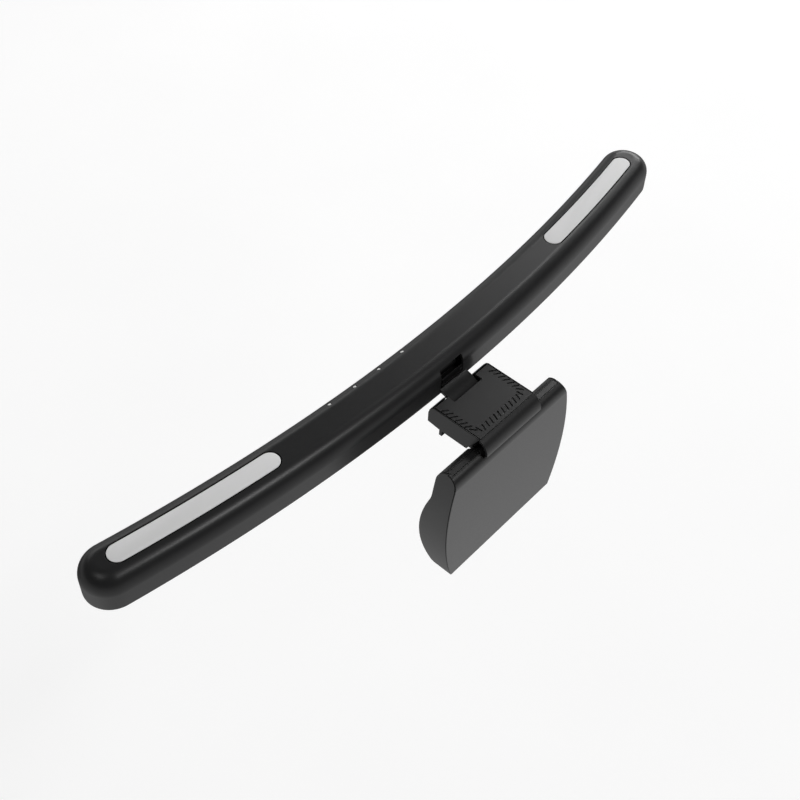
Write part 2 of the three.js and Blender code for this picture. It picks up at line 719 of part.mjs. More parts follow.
function clipCover() {
  const half = CLIP.halfWidth - 0.75;
  const low = CLIP.top - CLIP.plate;
  const front = BASE_CHAMFER.at(-1)[0] + 0.1;
  const notch = [-CLIP.notchHalf, CLIP.notchHalf];
  let cover = cut(
    box([-half, half], [front, CLIP.crease - GAP], [low, CLIP.top]),
    box(notch, [CLIP.front - 1, CLIP.notchBack], [low - 1, CLIP.top + 1]),
  );
  const outline = capsule(0, 0, GROOVE.halfLength, GROOVE.radius);
  for (const [x, y, angle] of grooves()) {
    const groove = prismZ(outline, -GROOVE.depth, 1, 2);
    const place = new THREE.Matrix4().makeTranslation(x, y, CLIP.top);
    cover = cut(cover, moved(groove, place.multiply(new THREE.Matrix4().makeRotationZ(angle))));
  }
  return cover;
}

function hingeHood() {
  const { radius, skin, lowEdge, flangeFront, flangeTop, flange } = HOOD;
  const centre = [WEIGHT.back - radius, CLIP.top - radius];
  const start = Math.acos((CLIP.crease - centre[0]) / radius);
  const shape = new THREE.Shape();
  shape.moveTo(WEIGHT.back, lowEdge);
  shape.lineTo(WEIGHT.back, centre[1]);
  shape.absarc(...centre, radius, 0, start, false);
  shape.lineTo(CLIP.crease, flangeTop);
  shape.lineTo(flangeFront, flangeTop);
  shape.lineTo(flangeFront, flangeTop - flange);
  shape.lineTo(CLIP.crease, flangeTop - flange);
  shape.absarc(...centre, radius - skin, Math.PI / 2.4, 0, true);
  shape.lineTo(WEIGHT.back - skin, lowEdge);
  shape.closePath();
  const half = CLIP.halfWidth;
  const inner = half - CLIP.wall - GAP;
  const hood = prismX(shape, -half, half, 6);
  const trim = (x0, x1) => box([x0, x1], [0, CLIP.crease], [8, flangeTop + 0.1]);
  let made = cut(hood, trim(-half - 1, -inner), trim(inner, half + 1));
  for (const side of [-1, 1]) {
    const at = [side * HOOD_SCREW.x, HOOD_SCREW.y, 0];
    const hole = rod("z", at, SCREW.clear, flangeTop - flange - 1, flangeTop + 1, 12);
    const sink = rod("z", at, HOOD_SINK.radius, flangeTop - HOOD_SINK.depth, flangeTop + 1, 14);
    made = cut(made, hole, sink);
  }
  return made;
}

function hingePin() {
  const end = 34;
  const chamfer = 0.4;
  const radius = HINGE.pinRadius;
  return turned("x", [0, HINGE.y, HINGE.z], [
    [0, -end],
    [radius - chamfer, -end],
    [radius, -end + chamfer],
    [radius, end - chamfer],
    [radius - chamfer, end],
    [0, end],
  ]);
}

// ---------------------------------------------------------------- counterweight

// The counterweight's outline in x and z, shrunk by an inset.
function weightOutline(inset, top, bottom) {
  const radius = WEIGHT.sideRadius - inset;
  const centre = WEIGHT.halfWidth - WEIGHT.sideRadius;
  const angle = (z) => Math.asin((z - WEIGHT.widestZ) / radius);
  const shape = new THREE.Shape();
  const low = angle(bottom);
  const high = angle(top);
  shape.absarc(centre, WEIGHT.widestZ, radius, low, high, false);
  shape.absarc(-centre, WEIGHT.widestZ, radius, Math.PI - high, Math.PI - low, false);
  shape.closePath();
  return shape;
}

const NECKLINE = { z: -12.5, bend: -16, endY: 7, endZ: -18.7 }; // from the barrel to the bulge
const TOE = { rise: 1.5, y: 9.2 };
const BULGE_CENTRE = [WEIGHT.bulgeFront + WEIGHT.bulgeRadius, WEIGHT.bulgeZ];
const bulgeAngle = (z, radius) => Math.PI - Math.asin((z - WEIGHT.bulgeZ) / radius);

// The counterweight's side in y and z: the hinge barrel, the flat back and the bulging front.
function weightSide() {
  const { back, bottom, bulgeRadius } = WEIGHT;
  const barrelFront = HINGE.y - HINGE.barrelRadius;
  const shape = new THREE.Shape();
  shape.absarc(HINGE.y, HINGE.z, HINGE.barrelRadius, 0, Math.PI, false);
  shape.lineTo(barrelFront, NECKLINE.z);
  shape.quadraticCurveTo(barrelFront, NECKLINE.bend, NECKLINE.endY, NECKLINE.endZ);
  const from = bulgeAngle(NECKLINE.endZ, bulgeRadius);
  const to = bulgeAngle(bottom + TOE.rise, bulgeRadius);
  shape.absarc(...BULGE_CENTRE, bulgeRadius, from, to, false);
  shape.lineTo(TOE.y, bottom);
  shape.lineTo(back, bottom);
  shape.closePath();
  return shape;
}

const WEIGHT_TOP = HINGE.z + HINGE.barrelRadius;
const coverFront = WEIGHT.back - WEIGHT.cover;

function weightForm() {
  const reach = WEIGHT.halfWidth + 1;
  const side = prismX(weightSide(), -reach, reach, 6);
  return side.intersect(
    prismY(weightOutline(0, WEIGHT_TOP + 1, WEIGHT.bottom - 1), -10, 30, 8),
  );
}

// The part of the counterweight that belongs to the rear cover: a sheet over the back and over the
// rear quarter of the barrel. A positive margin makes it larger.
function coverZone(margin) {
  const shape = new THREE.Shape();
  const inner = HINGE.barrelRadius - HINGE.skin - margin;
  shape.moveTo(40, -100);
  shape.lineTo(40, 30);
  shape.lineTo(HINGE.y - margin, 30);
  shape.lineTo(HINGE.y - margin, HINGE.z + inner);
  shape.absarc(HINGE.y - margin, HINGE.z, inner, Math.PI / 2, 0, true);
  shape.lineTo(coverFront - margin, HINGE.z);
  shape.lineTo(coverFront - margin, -100);
  shape.closePath();
  return prismX(shape, -60, 60, 5);
}

// The opening in the barrel through which the clip's neck enters, wide enough for the whole swing.
function neckSlot() {
  const half = CLIP.halfWidth + 0.6;
  const reach = HINGE.barrelRadius + 2;
  const from = radians(46);
  const shape = new THREE.Shape();
  shape.moveTo(HINGE.y, HINGE.z);
  shape.lineTo(HINGE.y + reach * Math.cos(from), HINGE.z + reach * Math.sin(from));
  shape.absarc(HINGE.y, HINGE.z, reach, from, radians(183), false);
  shape.closePath();
  const opening = prismX(shape, -half, half, 6);
  const inside = rod("x", [0, HINGE.y, HINGE.z], HINGE.barrelRadius - HINGE.skin, -half, half);
  return join(opening, inside);
}

const SEAM = { halfWidth: 1.8, from: 24.5, to: 45.6, depth: 0.8 };
const SEAM_ROOM = 0.2;
const seamTop = HINGE.z + Math.sqrt(HINGE.barrelRadius ** 2 - SEAM.halfWidth ** 2);

function seamChannels() {
  const y = [HINGE.y - SEAM.halfWidth, HINGE.y + SEAM.halfWidth];
  const z = [seamTop - SEAM.depth - SEAM_ROOM, WEIGHT_TOP + 1];
  const channel = box([SEAM.from - SEAM_ROOM, SEAM.to], y, z);
  return join(channel, mirrored(channel));
}

const STEEL = { halfWidth: 40, y: [11.2, 19.4], z: [-73, -22] };
const BUSH = { from: 24.5, to: 33.5, radius: 5.1, clearance: 0.2, endRoom: 0.8 };

// Four screws join the shells: places in x and z, and the bosses of the cover and of the shell.
const SHELL_SCREWS = [[-45, -16], [45, -16], [-43, -76], [43, -76]];
const COVER_BOSS = { radius: 2.6, front: 15.5 };
const SHELL_BOSS = { radius: 3, front: 8, back: 15.2, well: 2.5, wellEnd: 11.5 };

function atShellScrews(radius, from, to, sides) {
  return SHELL_SCREWS.map(([x, z]) => rod("y", [x, 0, z], radius, from, to, sides));
}

function weightRearCover() {
  const { radius, front } = COVER_BOSS;
  const cover = join(
    weightForm().intersect(coverZone(0)),
    ...atShellScrews(radius, front, coverFront + 0.4, 14),
  );
  const pilots = atShellScrews(SCREW.pilot, front - 1, coverFront - GAP, 12);
  return cut(cover, neckSlot(), seamChannels(), ...pilots);
}

// What is hollow inside the front shell, above the steel weight's floor and below the bushes.
function weightRoom() {
  const { wall, bottom, bulgeRadius } = WEIGHT;
  const radius = bulgeRadius - wall;
  const roof = -10.6;
  const frontY = 10.2;
  const from = bulgeAngle(-20, radius);
  const to = bulgeAngle(-81.5, radius);
  const shape = new THREE.Shape();
  shape.moveTo(30, roof);
  shape.lineTo(frontY, roof);
  shape.lineTo(frontY, -16);
  shape.absarc(...BULGE_CENTRE, radius, from, to, false);
  shape.lineTo(30, bottom + wall);
  shape.closePath();
  const outline = weightOutline(wall, -10, bottom + wall - 0.2);
  return prismX(shape, -60, 60, 6).intersect(prismY(outline, -10, 30, 8));
}

function weightFrontShell() {
  const { radius, front, back, well, wellEnd } = SHELL_BOSS;
  const bushSeat = BUSH.to + BUSH.endRoom;
  return cut(
    join(
      cut(weightForm(), coverZone(GAP), weightRoom()),
      ...atShellScrews(radius, front, back, 14),
    ),
    ...atShellScrews(SCREW.clear, 0, back + 1, 12),
    ...atShellScrews(well, 0, wellEnd, 12),
    neckSlot(),
    seamChannels(),
    padRecessSolid(),
    rod("x", [0, HINGE.y, HINGE.z], BUSH.radius + BUSH.clearance, -bushSeat, bushSeat),
  );
}

const BACK_PAD = { halfWidth: 20, halfHeight: 13.5, proud: 0.5, depth: 0.7 };
const PAD_FLATS = 9; // an odd number, so that the middle one stands upright

// Points down the bulge between two heights, at a radius.
function bulgePoints(radius, zFrom, zTo) {
  return Array.from({ length: PAD_FLATS + 1 }, (_, i) => {
    const share = i / PAD_FLATS;
    const angle = THREE.MathUtils.lerp(bulgeAngle(zFrom, radius), bulgeAngle(zTo, radius), share);
    return [
      BULGE_CENTRE[0] + radius * Math.cos(angle),
      BULGE_CENTRE[1] + radius * Math.sin(angle),
    ];
  });
}

// A slab that follows the bulge, between two radii.
function bulgeSlab(outer, inner, halfWidth, halfHeight) {
  const high = WEIGHT.bulgeZ + halfHeight;
  const low = WEIGHT.bulgeZ - halfHeight;
  const points = [...bulgePoints(outer, high, low), ...bulgePoints(inner, low, high)];
  return prismX(polygon(points), -halfWidth, halfWidth);
}

function padRecessSolid() {
  const r = WEIGHT.bulgeRadius;
  const { halfWidth, halfHeight, depth } = BACK_PAD;
  return bulgeSlab(r + 2, r - depth, halfWidth + GAP, halfHeight + GAP);
}

function backPad() {
  const r = WEIGHT.bulgeRadius;
  const { halfWidth, halfHeight, depth, proud } = BACK_PAD;
  return bulgeSlab(r + proud, r - depth + GAP, halfWidth, halfHeight);
}

// ---------------------------------------------------------------- the assembly

const lightBar = new THREE.Group();
lightBar.position.set(0, BAR.y, BAR.z);
lightBar.add(
  piece("bar_housing", barHousing(), "black"),
  piece("bottom_frame", bottomFrame(), "black"),
  piece("main_diffuser", mainDiffuser(), "opal"),
  piece("main_reflector", mainReflector(), "white"),
  piece("main_led_board", mainLedBoard(), "ledBoard"),
  piece("backlight_diffuser_right", backlightDiffuser(), "opal"),
  piece("backlight_diffuser_left", mirrored(backlightDiffuser()), "opal"),
  piece("backlight_board_right", backlightBoard(), "ledBoard"),
  piece("backlight_board_left", mirrored(backlightBoard()), "ledBoard"),
  piece("ribbon_lead_right", ribbonLead(56, WINDOW.from + 4), "copperLead"),
  piece("ribbon_lead_left", ribbonLead(-WINDOW.from - 4, 26), "copperLead"),
  piece("control_board", controlBoard(), "board"),
  piece("touch_board", touchBoard(), "board"),
  piece("usb_shell", usbShell(), "steel"),
  piece("usb_tongue", usbTongue(), "insert"),
  piece("tilt_bracket", tiltBracket(), "steel"),
  piece("tilt_pin", tiltPin(), "steel"),
  piece("lock_nut", lockNut(), "steel"),
);
touchSpots.forEach((s, i) => {
  const below = 0.06; // the bar's skin
  const pipe = rod("z", [0, 0, 0], TOUCH.radius, -TOUCH_BOARD.depth + 0.8, -below, 14);
  lightBar.add(piece("touch_mark_" + (i + 1), moved(pipe, touchMatrix(s)), "white"));
});
FRAME_SCREWS.forEach((s, i) => {
  const size = { head: 1.9, headHeight: 0.6, length: 8 };
  const at = [...onArc(s, FRAME_SCREW_OFFSET), BAR_BOTTOM + FRAME.recess + FRAME_SINK - GAP];
  lightBar.add(screw("frame_screw_" + (i + 1), size, at, [Math.PI, 0, 0]));
});
for (const [name, side] of [["left", -1], ["right", 1]]) {
  const inner = TILT.knuckleHalf + GAP;
  const [x0, x1] = [side * inner, side * (inner + WASHER.thickness)].sort((a, b) => a - b);
  const washer = ring("x", tiltAxis, pinHole, WASHER.radius, x0, x1);
  const under = BRACKET_SCREW.bossBottom - 2 * GAP - BRACKET.thickness;
  const at = [side * BRACKET_SCREW.x, BRACKET_SCREW.y, under];
  lightBar.add(
    piece("friction_washer_" + name, washer, "insert"),
    screw("bracket_screw_" + name, { length: 4.2 }, at, [Math.PI, 0, 0]),
  );
}

const clip = new THREE.Group();
const arm = piece("tilt_arm", tiltArm(), "black");
arm.position.set(0, BAR.y, BAR.z);
const restPad = box([-PAD.halfWidth, PAD.halfWidth], [PAD.front, PAD.back], [0, PAD.thickness]);
const lipPad = box(
  [-CLIP.halfWidth + 2, CLIP.halfWidth - 2],
  [LIP.back - LIP.padThickness, LIP.back],
  [LIP.bottom + 0.3, CLIP.bottom - GAP],
);
clip.add(
  piece("clip_base", clipBase(), "black"),
  piece("clip_cover", clipCover(), "darkPlate"),
  piece("hinge_hood", hingeHood(), "black"),
  arm,
  piece("rest_pad", restPad, "rubber"),
  piece("lip_pad", lipPad, "rubber"),
  piece("hinge_pin", hingePin(), "steel"),
);
for (const [name, side] of [["left", -1], ["right", 1]]) {
  const armScrewZ = CLIP.floorTop + 2 * GAP + FOOT.thickness;
  const hoodScrewZ = HOOD.flangeTop - HOOD_SINK.depth + 0.1;
  clip.add(
    screw("arm_screw_" + name, { length: 3.6 }, [side * ARM_SCREW.x, ARM_SCREW.y, armScrewZ]),
    screw(
      "hood_screw_" + name,
      { headHeight: 0.5, length: 4.5 },
      [side * HOOD_SCREW.x, HOOD_SCREW.y, hoodScrewZ],
    ),
  );
}

const counterweight = new THREE.Group();
counterweight.add(
  piece("weight_front_shell", weightFrontShell(), "weightBlack"),
  piece("weight_rear_cover", weightRearCover(), "weightBlack"),
  piece("steel_weight", box([-STEEL.halfWidth, STEEL.halfWidth], STEEL.y, STEEL.z), "steel"),
  piece("back_pad", backPad(), "rubber"),
);
for (const [name, side] of [["left", -1], ["right", 1]]) {
  const [x0, x1] = [side * BUSH.from, side * BUSH.to].sort((a, b) => a - b);
  const at = [0, HINGE.y, HINGE.z];
  const bush = ring("x", at, HINGE.pinRadius + RUN_CLEARANCE, BUSH.radius, x0, x1);
  const [s0, s1] = [side * SEAM.from, side * (SEAM.to - 0.2)].sort((a, b) => a - b);
  const strip = box(
    [s0, s1],
    [HINGE.y - SEAM.halfWidth + 0.15, HINGE.y + SEAM.halfWidth - 0.15],
    [seamTop - SEAM.depth, seamTop],
  );
  counterweight.add(
    piece("hinge_bush_" + name, bush, "insert"),
    piece("seam_strip_" + name, strip, "weightBlack"),
  );
}
SHELL_SCREWS.forEach(([x, z], i) => {
  const turnForward = [Math.PI / 2, 0, 0];
  counterweight.add(screw("shell_screw_" + (i + 1), { length: 7 }, [x, 11.2, z], turnForward));
});

const monitorLightBar = new THREE.Group();
monitorLightBar.add(lightBar, clip, counterweight);
export default monitorLightBar;
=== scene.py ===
import json
import math
import random

import bmesh
import bpy
from mathutils import Matrix, Vector


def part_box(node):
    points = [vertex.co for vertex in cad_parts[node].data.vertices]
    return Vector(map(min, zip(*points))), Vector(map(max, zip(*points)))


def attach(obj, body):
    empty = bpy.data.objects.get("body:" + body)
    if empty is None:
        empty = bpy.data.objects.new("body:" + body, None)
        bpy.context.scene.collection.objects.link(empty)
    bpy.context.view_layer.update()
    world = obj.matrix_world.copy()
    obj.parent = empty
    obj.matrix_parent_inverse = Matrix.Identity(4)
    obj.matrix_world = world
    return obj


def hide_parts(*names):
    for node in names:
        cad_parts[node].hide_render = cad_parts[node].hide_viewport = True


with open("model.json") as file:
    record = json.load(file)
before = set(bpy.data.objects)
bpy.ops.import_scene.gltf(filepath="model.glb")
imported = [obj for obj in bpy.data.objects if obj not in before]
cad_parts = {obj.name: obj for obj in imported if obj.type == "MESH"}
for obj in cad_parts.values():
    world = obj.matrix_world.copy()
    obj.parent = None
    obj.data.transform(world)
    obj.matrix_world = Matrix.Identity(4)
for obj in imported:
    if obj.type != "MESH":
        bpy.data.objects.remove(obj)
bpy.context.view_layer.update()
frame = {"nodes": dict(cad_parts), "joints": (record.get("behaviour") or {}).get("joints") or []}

MM = 0.001
GAP = 0.3  # between pieces that touch


def box_mm(node):
    low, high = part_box(node)
    return low / MM, high / MM


# -------- sizes from the frame

JOINTS = {joint["name"]: Vector(joint["pos_m"]) / MM for joint in frame["joints"]}
housing_low, housing_high = box_mm("bar_housing")
weight_low, weight_high = box_mm("weight_front_shell")
clip_low, clip_high = box_mm("clip_base")

# The bar's own frame has its origin in the middle of the bar's section. Its centre line is an arc
# about (0, -ARC_RADIUS), and lengths along it count from the bar's middle.
BAR_Y = -38.5
BAR_Z = (housing_low.z + housing_high.z) / 2
BAR_AT = Vector((0, BAR_Y, BAR_Z))
BAR_HALF = 15.15
BAR_TOP = housing_high.z - BAR_Z
BAR_BOTTOM = -BAR_TOP
ARC_RADIUS = 1137.0
FILLET = 10.0
RIM = 0.5  # round of the bar's lower edge
WALL = 1.6
END_CENTRE = math.asin((housing_high.x - BAR_HALF) / ARC_RADIUS) * ARC_RADIUS
TIP = END_CENTRE + BAR_HALF

WINDOW_FROM, WINDOW_TO, WINDOW_HALF, WINDOW_GAP = 111.05, 211.15, 6.3, 0.6
WINDOW_OFFSET = -0.3
SKIRT_HALF = 6.5  # half the width of a window's light box, under the housing's wall
SKIRT_TOP = 8.5
LAMP_REACH, LAMP_OFFSET, LAMP_HALF = 200.0, -4.5, 6.0
FRAME_THICKNESS = 1.7
FRAME_SCREWS = (-202, -140, -78, 78, 140, 202)
FRAME_SCREW_OFFSET = 9.5
BOSS_RADIUS, SCREW_HOLE = 2.6, 1.2
TOUCH_FIRST, TOUCH_PITCH, TOUCH_COUNT = 14.5, 18.3, 4
TOUCH_SPOTS = [TOUCH_FIRST + TOUCH_PITCH * i for i in range(TOUCH_COUNT)]
TOUCH_TILT = 27.0  # degrees from the top towards the front
TOUCH_HOLE, TOUCH_RADIUS, TOUCH_DOME = 1.15, 1.0, 0.25
USB_AT, USB_HALF = (42.0, 7.2), (4.5, 1.65)
USB_LOW, USB_TOP, USB_WALL = -10.2, -1.8, 0.35

# The tilt joint and the arm, in the bar's frame: y and z.
TILT = (JOINTS["bar_tilt"].y - BAR_Y, JOINTS["bar_tilt"].z - BAR_Z)
SLOT_HALF, SLOT_BOTTOM, SLOT_TOP = 9.1, -7.9, 6.4
ARM_CENTRE, ARM_RADIUS, ARM_THICKNESS = (12.3, -26.8), 22.0, 2.2
ARM_HALF, NECK_HALF, KNUCKLE_HALF = 10.9, 8.4, 7.6
ARM_SCREW_X, ARM_SCREW_Y = 6.0, -1.5
PIN_HOLE = 2.06

CLIP_HALF = clip_high.x
CLIP_FRONT = clip_low.y
CLIP_TOP = 14.0
CLIP_BOTTOM = 0.3
CLIP_FLOOR = 3.3
LIP_FRONT = -11.7
CREASE = 15.8  # where the cover plate ends and the hood begins
NOTCH_HALF = 11.6
HOOD_SCREW_X, HOOD_SCREW_Y = 17.5, 9
HOOD_TOP, HOOD_FLANGE = 12.5, 1.3
CHAMFER = [(CLIP_FRONT, 8.2), (-19.4, 11), (-17.9, 13.1), (-16.4, CLIP_TOP)]

HINGE = (JOINTS["counterweight_swing"].y, JOINTS["counterweight_swing"].z)
BARREL = 7.0
SKIN = 1.5
NECK_FROM, NECK_TO = 133, 163  # degrees round the barrel that the clip's neck takes up
WEIGHT_BACK = box_mm("weight_rear_cover")[1].y
WEIGHT_BOTTOM = weight_low.z
WEIGHT_HALF = weight_high.x
WIDEST_Z = -37.3
SIDE_RADIUS = 150.0
BULGE_RADIUS = 94.0
BULGE_CENTRE = (1.6 + BULGE_RADIUS, -50.0)
BULGE_TOP = -18.7
COVER_DEPTH, LIP_DEPTH, LIP_WIDTH = 1.3, 0.45, 1.7
COVER_FRONT = WEIGHT_BACK - COVER_DEPTH
SHELL_SCREWS = ((-45, -16), (45, -16), (-43, -76), (43, -76))
SEAM_HALF, SEAM_FROM, SEAM_TO, SEAM_DEPTH = 1.8, 24.5, 45.6, 0.8
SEAM_TOP = HINGE[1] + math.sqrt(BARREL**2 - SEAM_HALF**2)

# -------- outlines


def arc(centre, radius, start, end, step=4.0):
    """Points on a circle from one angle to another, in degrees, both ends included."""
    count = max(2, math.ceil(abs(end - start) / step))
    angles = [math.radians(start + (end - start) * i / count) for i in range(count + 1)]
    return [(centre[0] + radius * math.cos(a), centre[1] + radius * math.sin(a)) for a in angles]


def rectangle(low, high, radius=0.0):
    """A rectangle's outline with round corners."""
    (x0, y0), (x1, y1) = low, high
    if not radius:
        return [(x0, y0), (x1, y0), (x1, y1), (x0, y1)]
    corners = [(x1, y0, -90), (x1, y1, 0), (x0, y1, 90), (x0, y0, 180)]
    points = []
    for x, y, start in corners:
        centre = (x - radius if x == x1 else x + radius, y + radius if y == y0 else y - radius)
        points += arc(centre, radius, start, start + 90, 15)
    return points


def capsule(centre, half_length, radius):
    """A slot's outline, long in x."""
    x, y = centre
    reach = half_length - radius
    right = arc((x + reach, y), radius, -90, 90, 10)
    return right + arc((x - reach, y), radius, 90, 270, 10)


def on_arc(s, offset=0.0):
    """The point at a length along the bar's centre line, moved out from it by an offset."""
    angle = s / ARC_RADIUS
    radius = ARC_RADIUS + offset
    return radius * math.sin(angle), radius * math.cos(angle) - ARC_RADIUS


def arc_matrix(s):
    """Carries the bar's middle section to a length along its centre line."""
    x, y = on_arc(s)
    return Matrix.Translation((x, y, 0)) @ Matrix.Rotation(-s / ARC_RADIUS, 4, "Z")


def touch_matrix(s):
    """The frame of a touch mark: its +Z leaves the bar's surface at right angles."""
    tilt = math.radians(TOUCH_TILT)
    y = -(BAR_HALF - FILLET) - FILLET * math.sin(tilt)
    z = BAR_TOP - FILLET + FILLET * math.cos(tilt)
    return arc_matrix(s) @ Matrix.Translation((0, y, z)) @ Matrix.Rotation(tilt, 4, "X")


# -------- solids


def solid(name, points, faces):
    """A closed mesh object whose faces point out."""
    mesh = bpy.data.meshes.new(name)
    mesh.from_pydata([Vector(p) * MM for p in points], [], faces)
    shape = bmesh.new()
    shape.from_mesh(mesh)
    bmesh.ops.remove_doubles(shape, verts=shape.verts, dist=1e-7)
    bmesh.ops.recalc_face_normals(shape, faces=shape.faces)
    shape.to_mesh(mesh)
    shape.free()
    made = bpy.data.objects.new(name, mesh)
    bpy.context.scene.collection.objects.link(made)
    return made


def loft(rings):
    """A closed solid through rings of points, with a flat face on its first and last ring."""
    size = len(rings[0])
    points = [p for ring in rings for p in ring]
    faces = [list(range(size)), list(range(len(points) - size, len(points)))]
    for row in range(len(rings) - 1):
        for i in range(size):
            a, b = row * size + i, row * size + (i + 1) % size
            faces.append([a, b, b + size, a + size])
    return solid("solid", points, faces)


def cleaned(outline):
    """The outline without points that repeat their neighbour."""
    kept = []
    for point in outline:
        if not kept or math.dist(point, kept[-1]) > 1e-4:
            kept.append(point)
    if math.dist(kept[0], kept[-1]) < 1e-4:
        kept.pop()
    return kept


PLACES = {
    "x": lambda u, v, along: (along, u, v),
    "y": lambda u, v, along: (u, along, v),
    "z": lambda u, v, along: (u, v, along),
}


def prism(axis, outline, low, high):
    """An outline made solid between two places along an axis."""
    outline = cleaned(outline)
    place = PLACES[axis]
    return loft([[place(u, v, at) for u, v in outline] for at in (low, high)])


def block(x, y, z):
    return prism("z", rectangle((x[0], y[0]), (x[1], y[1])), *z)


def rod(axis, at, radius, low, high):
    return turned(axis, at, [(radius, low), (radius, high)])


def turned(axis, at, profile, sides=48):
    """A round solid about a line. at is the line's place in the other two directions."""
    place = PLACES[axis]
    rings = []
    for radius, along in profile:
        circle = arc(at, radius, 0, 360, 360 / sides)[:-1]
        rings.append([place(u, v, along) for u, v in circle])
    return loft(rings)


def combined(first, others, operation):
    for other in others:
        step = first.modifiers.new("combine", "BOOLEAN")
        step.operation = operation
        step.solver = "MANIFOLD"
        step.object = other
        settle(first)
        bpy.data.objects.remove(other)
    return first


def cut(first, *others):
    return combined(first, others, "DIFFERENCE")


def join(first, *others):
    return combined(first, others, "UNION")


def common(first, *others):
    return combined(first, others, "INTERSECT")


def settle(made):
    """Applies the modifiers."""
    bpy.context.view_layer.update()
    evaluated = made.evaluated_get(bpy.context.evaluated_depsgraph_get())
    mesh = bpy.data.meshes.new_from_object(evaluated)
    made.modifiers.clear()
    old = made.data
    made.data = mesh
    bpy.data.meshes.remove(old)


def moved(made, matrix):
    """Moves a solid by a matrix in millimetres."""
    scale = Matrix.Scale(MM, 4)
    made.data.transform(scale @ matrix @ scale.inverted())
    return made


# -------- bands along the bar

BAND_STEP = 3.0


def band_ring(start, end, half, offset, z):
    """A band's outline with round ends, whose end circles are centred at start and end."""
    count = math.ceil((end - start) / BAND_STEP)
    stations = [start + (end - start) * i / count for i in range(count + 1)]
    rear = [on_arc(s, offset + half) for s in stations]
    front = [on_arc(s, offset - half) for s in reversed(stations)]
    turn = -math.degrees(end / ARC_RADIUS)
    far_end = arc(on_arc(end, offset), half, 90 + turn, -90 + turn, 6)[1:-1]
    turn = -math.degrees(start / ARC_RADIUS)
    near_end = arc(on_arc(start, offset), half, -90 + turn, -270 + turn, 6)[1:-1]
    return [(x, y, z) for x, y in rear + far_end + front + near_end]


def band(start, end, half, profile, offset=0.0):
    """A solid band between two arc lengths. Its profile lists (inset, z) from the bottom up."""
    rings = [band_ring(start + half, end - half, half - inset, offset, z) for inset, z in profile]
    return loft(rings)


def soft_profile(low, high, edge=0.3):
    """A straight wall with round edges, as (inset, z)."""
    bottom = [(edge - u, low + edge - v) for v, u in arc((0, 0), edge, 0, 90, 30)]
    top = [(edge - u, high - edge + v) for u, v in arc((0, 0), edge, 0, 90, 30)]
    return bottom + top


# -------- materials


def nodes_of(name):
    made = bpy.data.materials.new(name)
    made.use_nodes = True
    tree = made.node_tree
    return made, tree, tree.nodes["Principled BSDF"]


def feed(node, **inputs):
    """Gives a node its inputs. An input is a value or another node's output."""
    for key, value in inputs.items():
        socket = node.inputs[key.replace("_", " ")]
        if isinstance(value, bpy.types.NodeSocket):
            node.id_data.links.new(value, socket)
        else:
            socket.default_value = value
    return node


def add(tree, kind, settings=None, **inputs):
    """A new node with its settings and inputs."""
    node = tree.nodes.new(kind)
    for key, value in (settings or {}).items():
        setattr(node, key, value)
    return feed(node, **inputs)


def noise(tree, scale, detail=4.0, stretch=(1, 1, 1), roughness=0.5):
    """Noise in the piece's own coordinates, which are metres. scale is in cells a metre."""
    coordinates = tree.nodes.get("Texture Coordinate") or add(tree, "ShaderNodeTexCoord")
    mapping = add(tree, "ShaderNodeMapping", Vector=coordinates.outputs["Object"], Scale=stretch)
    made = add(tree, "ShaderNodeTexNoise", Vector=mapping.outputs["Vector"])
    feed(made, Scale=scale, Detail=detail, Roughness=roughness)
    return made.outputs["Fac"]


def ranged(tree, value, low, high, source=(0.3, 0.7)):
    """A value carried from a source range, by default the middle of a noise, to low and high."""
    node = add(tree, "ShaderNodeMapRange", Value=value)
    feed(node, From_Min=source[0], From_Max=source[1], To_Min=low, To_Max=high)
    return node.outputs["Result"]


def blended(tree, factor, first, second):
    """A colour between two colours, each of them a tuple or another node's output."""
    node = add(tree, "ShaderNodeMix", {"data_type": "RGBA"})
    tree.links.new(factor, node.inputs["Factor"])
    for letter, value in (("A", first), ("B", second)):
        target = next(s for s in node.inputs if s.name == letter and s.type == "RGBA")
        if isinstance(value, bpy.types.NodeSocket):
            tree.links.new(value, target)
        else:
            target.default_value = (*value, 1)
    return next(s for s in node.outputs if s.type == "RGBA")


def grey(level, tint=(1, 1, 1)):
    return tuple(level * t for t in tint)


def bumped(tree, height, distance, strength):
    """A normal that a height pushes up by a distance in metres."""
    node = add(tree, "ShaderNodeBump", Height=height, Distance=distance, Strength=strength)
    return node.outputs["Normal"]


def moulded(name, level, roughness, grain=0.15, specular=0.5, relief=0.5, tint=(1, 1, 1.02)):
    """A moulded plastic: faint flow mottling, slightly uneven gloss and a fine eroded grain."""
    made, tree, shader = nodes_of(name)
    cloud = ranged(tree, noise(tree, 60, 6, roughness=0.6), 0, 1)
    colour = blended(tree, cloud, grey(level * 0.93, tint), grey(level * 1.07, tint))
    patches = noise(tree, 900, 5, roughness=0.6)
    gloss = ranged(tree, patches, roughness * 0.94, roughness * 1.06)
    fine = noise(tree, 0.5 / (grain * MM), 3)
    normal = bumped(tree, fine, 0.000012, relief)
    feed(shader, Base_Color=colour, Roughness=gloss, Normal=normal, Specular_IOR_Level=specular)
    return made


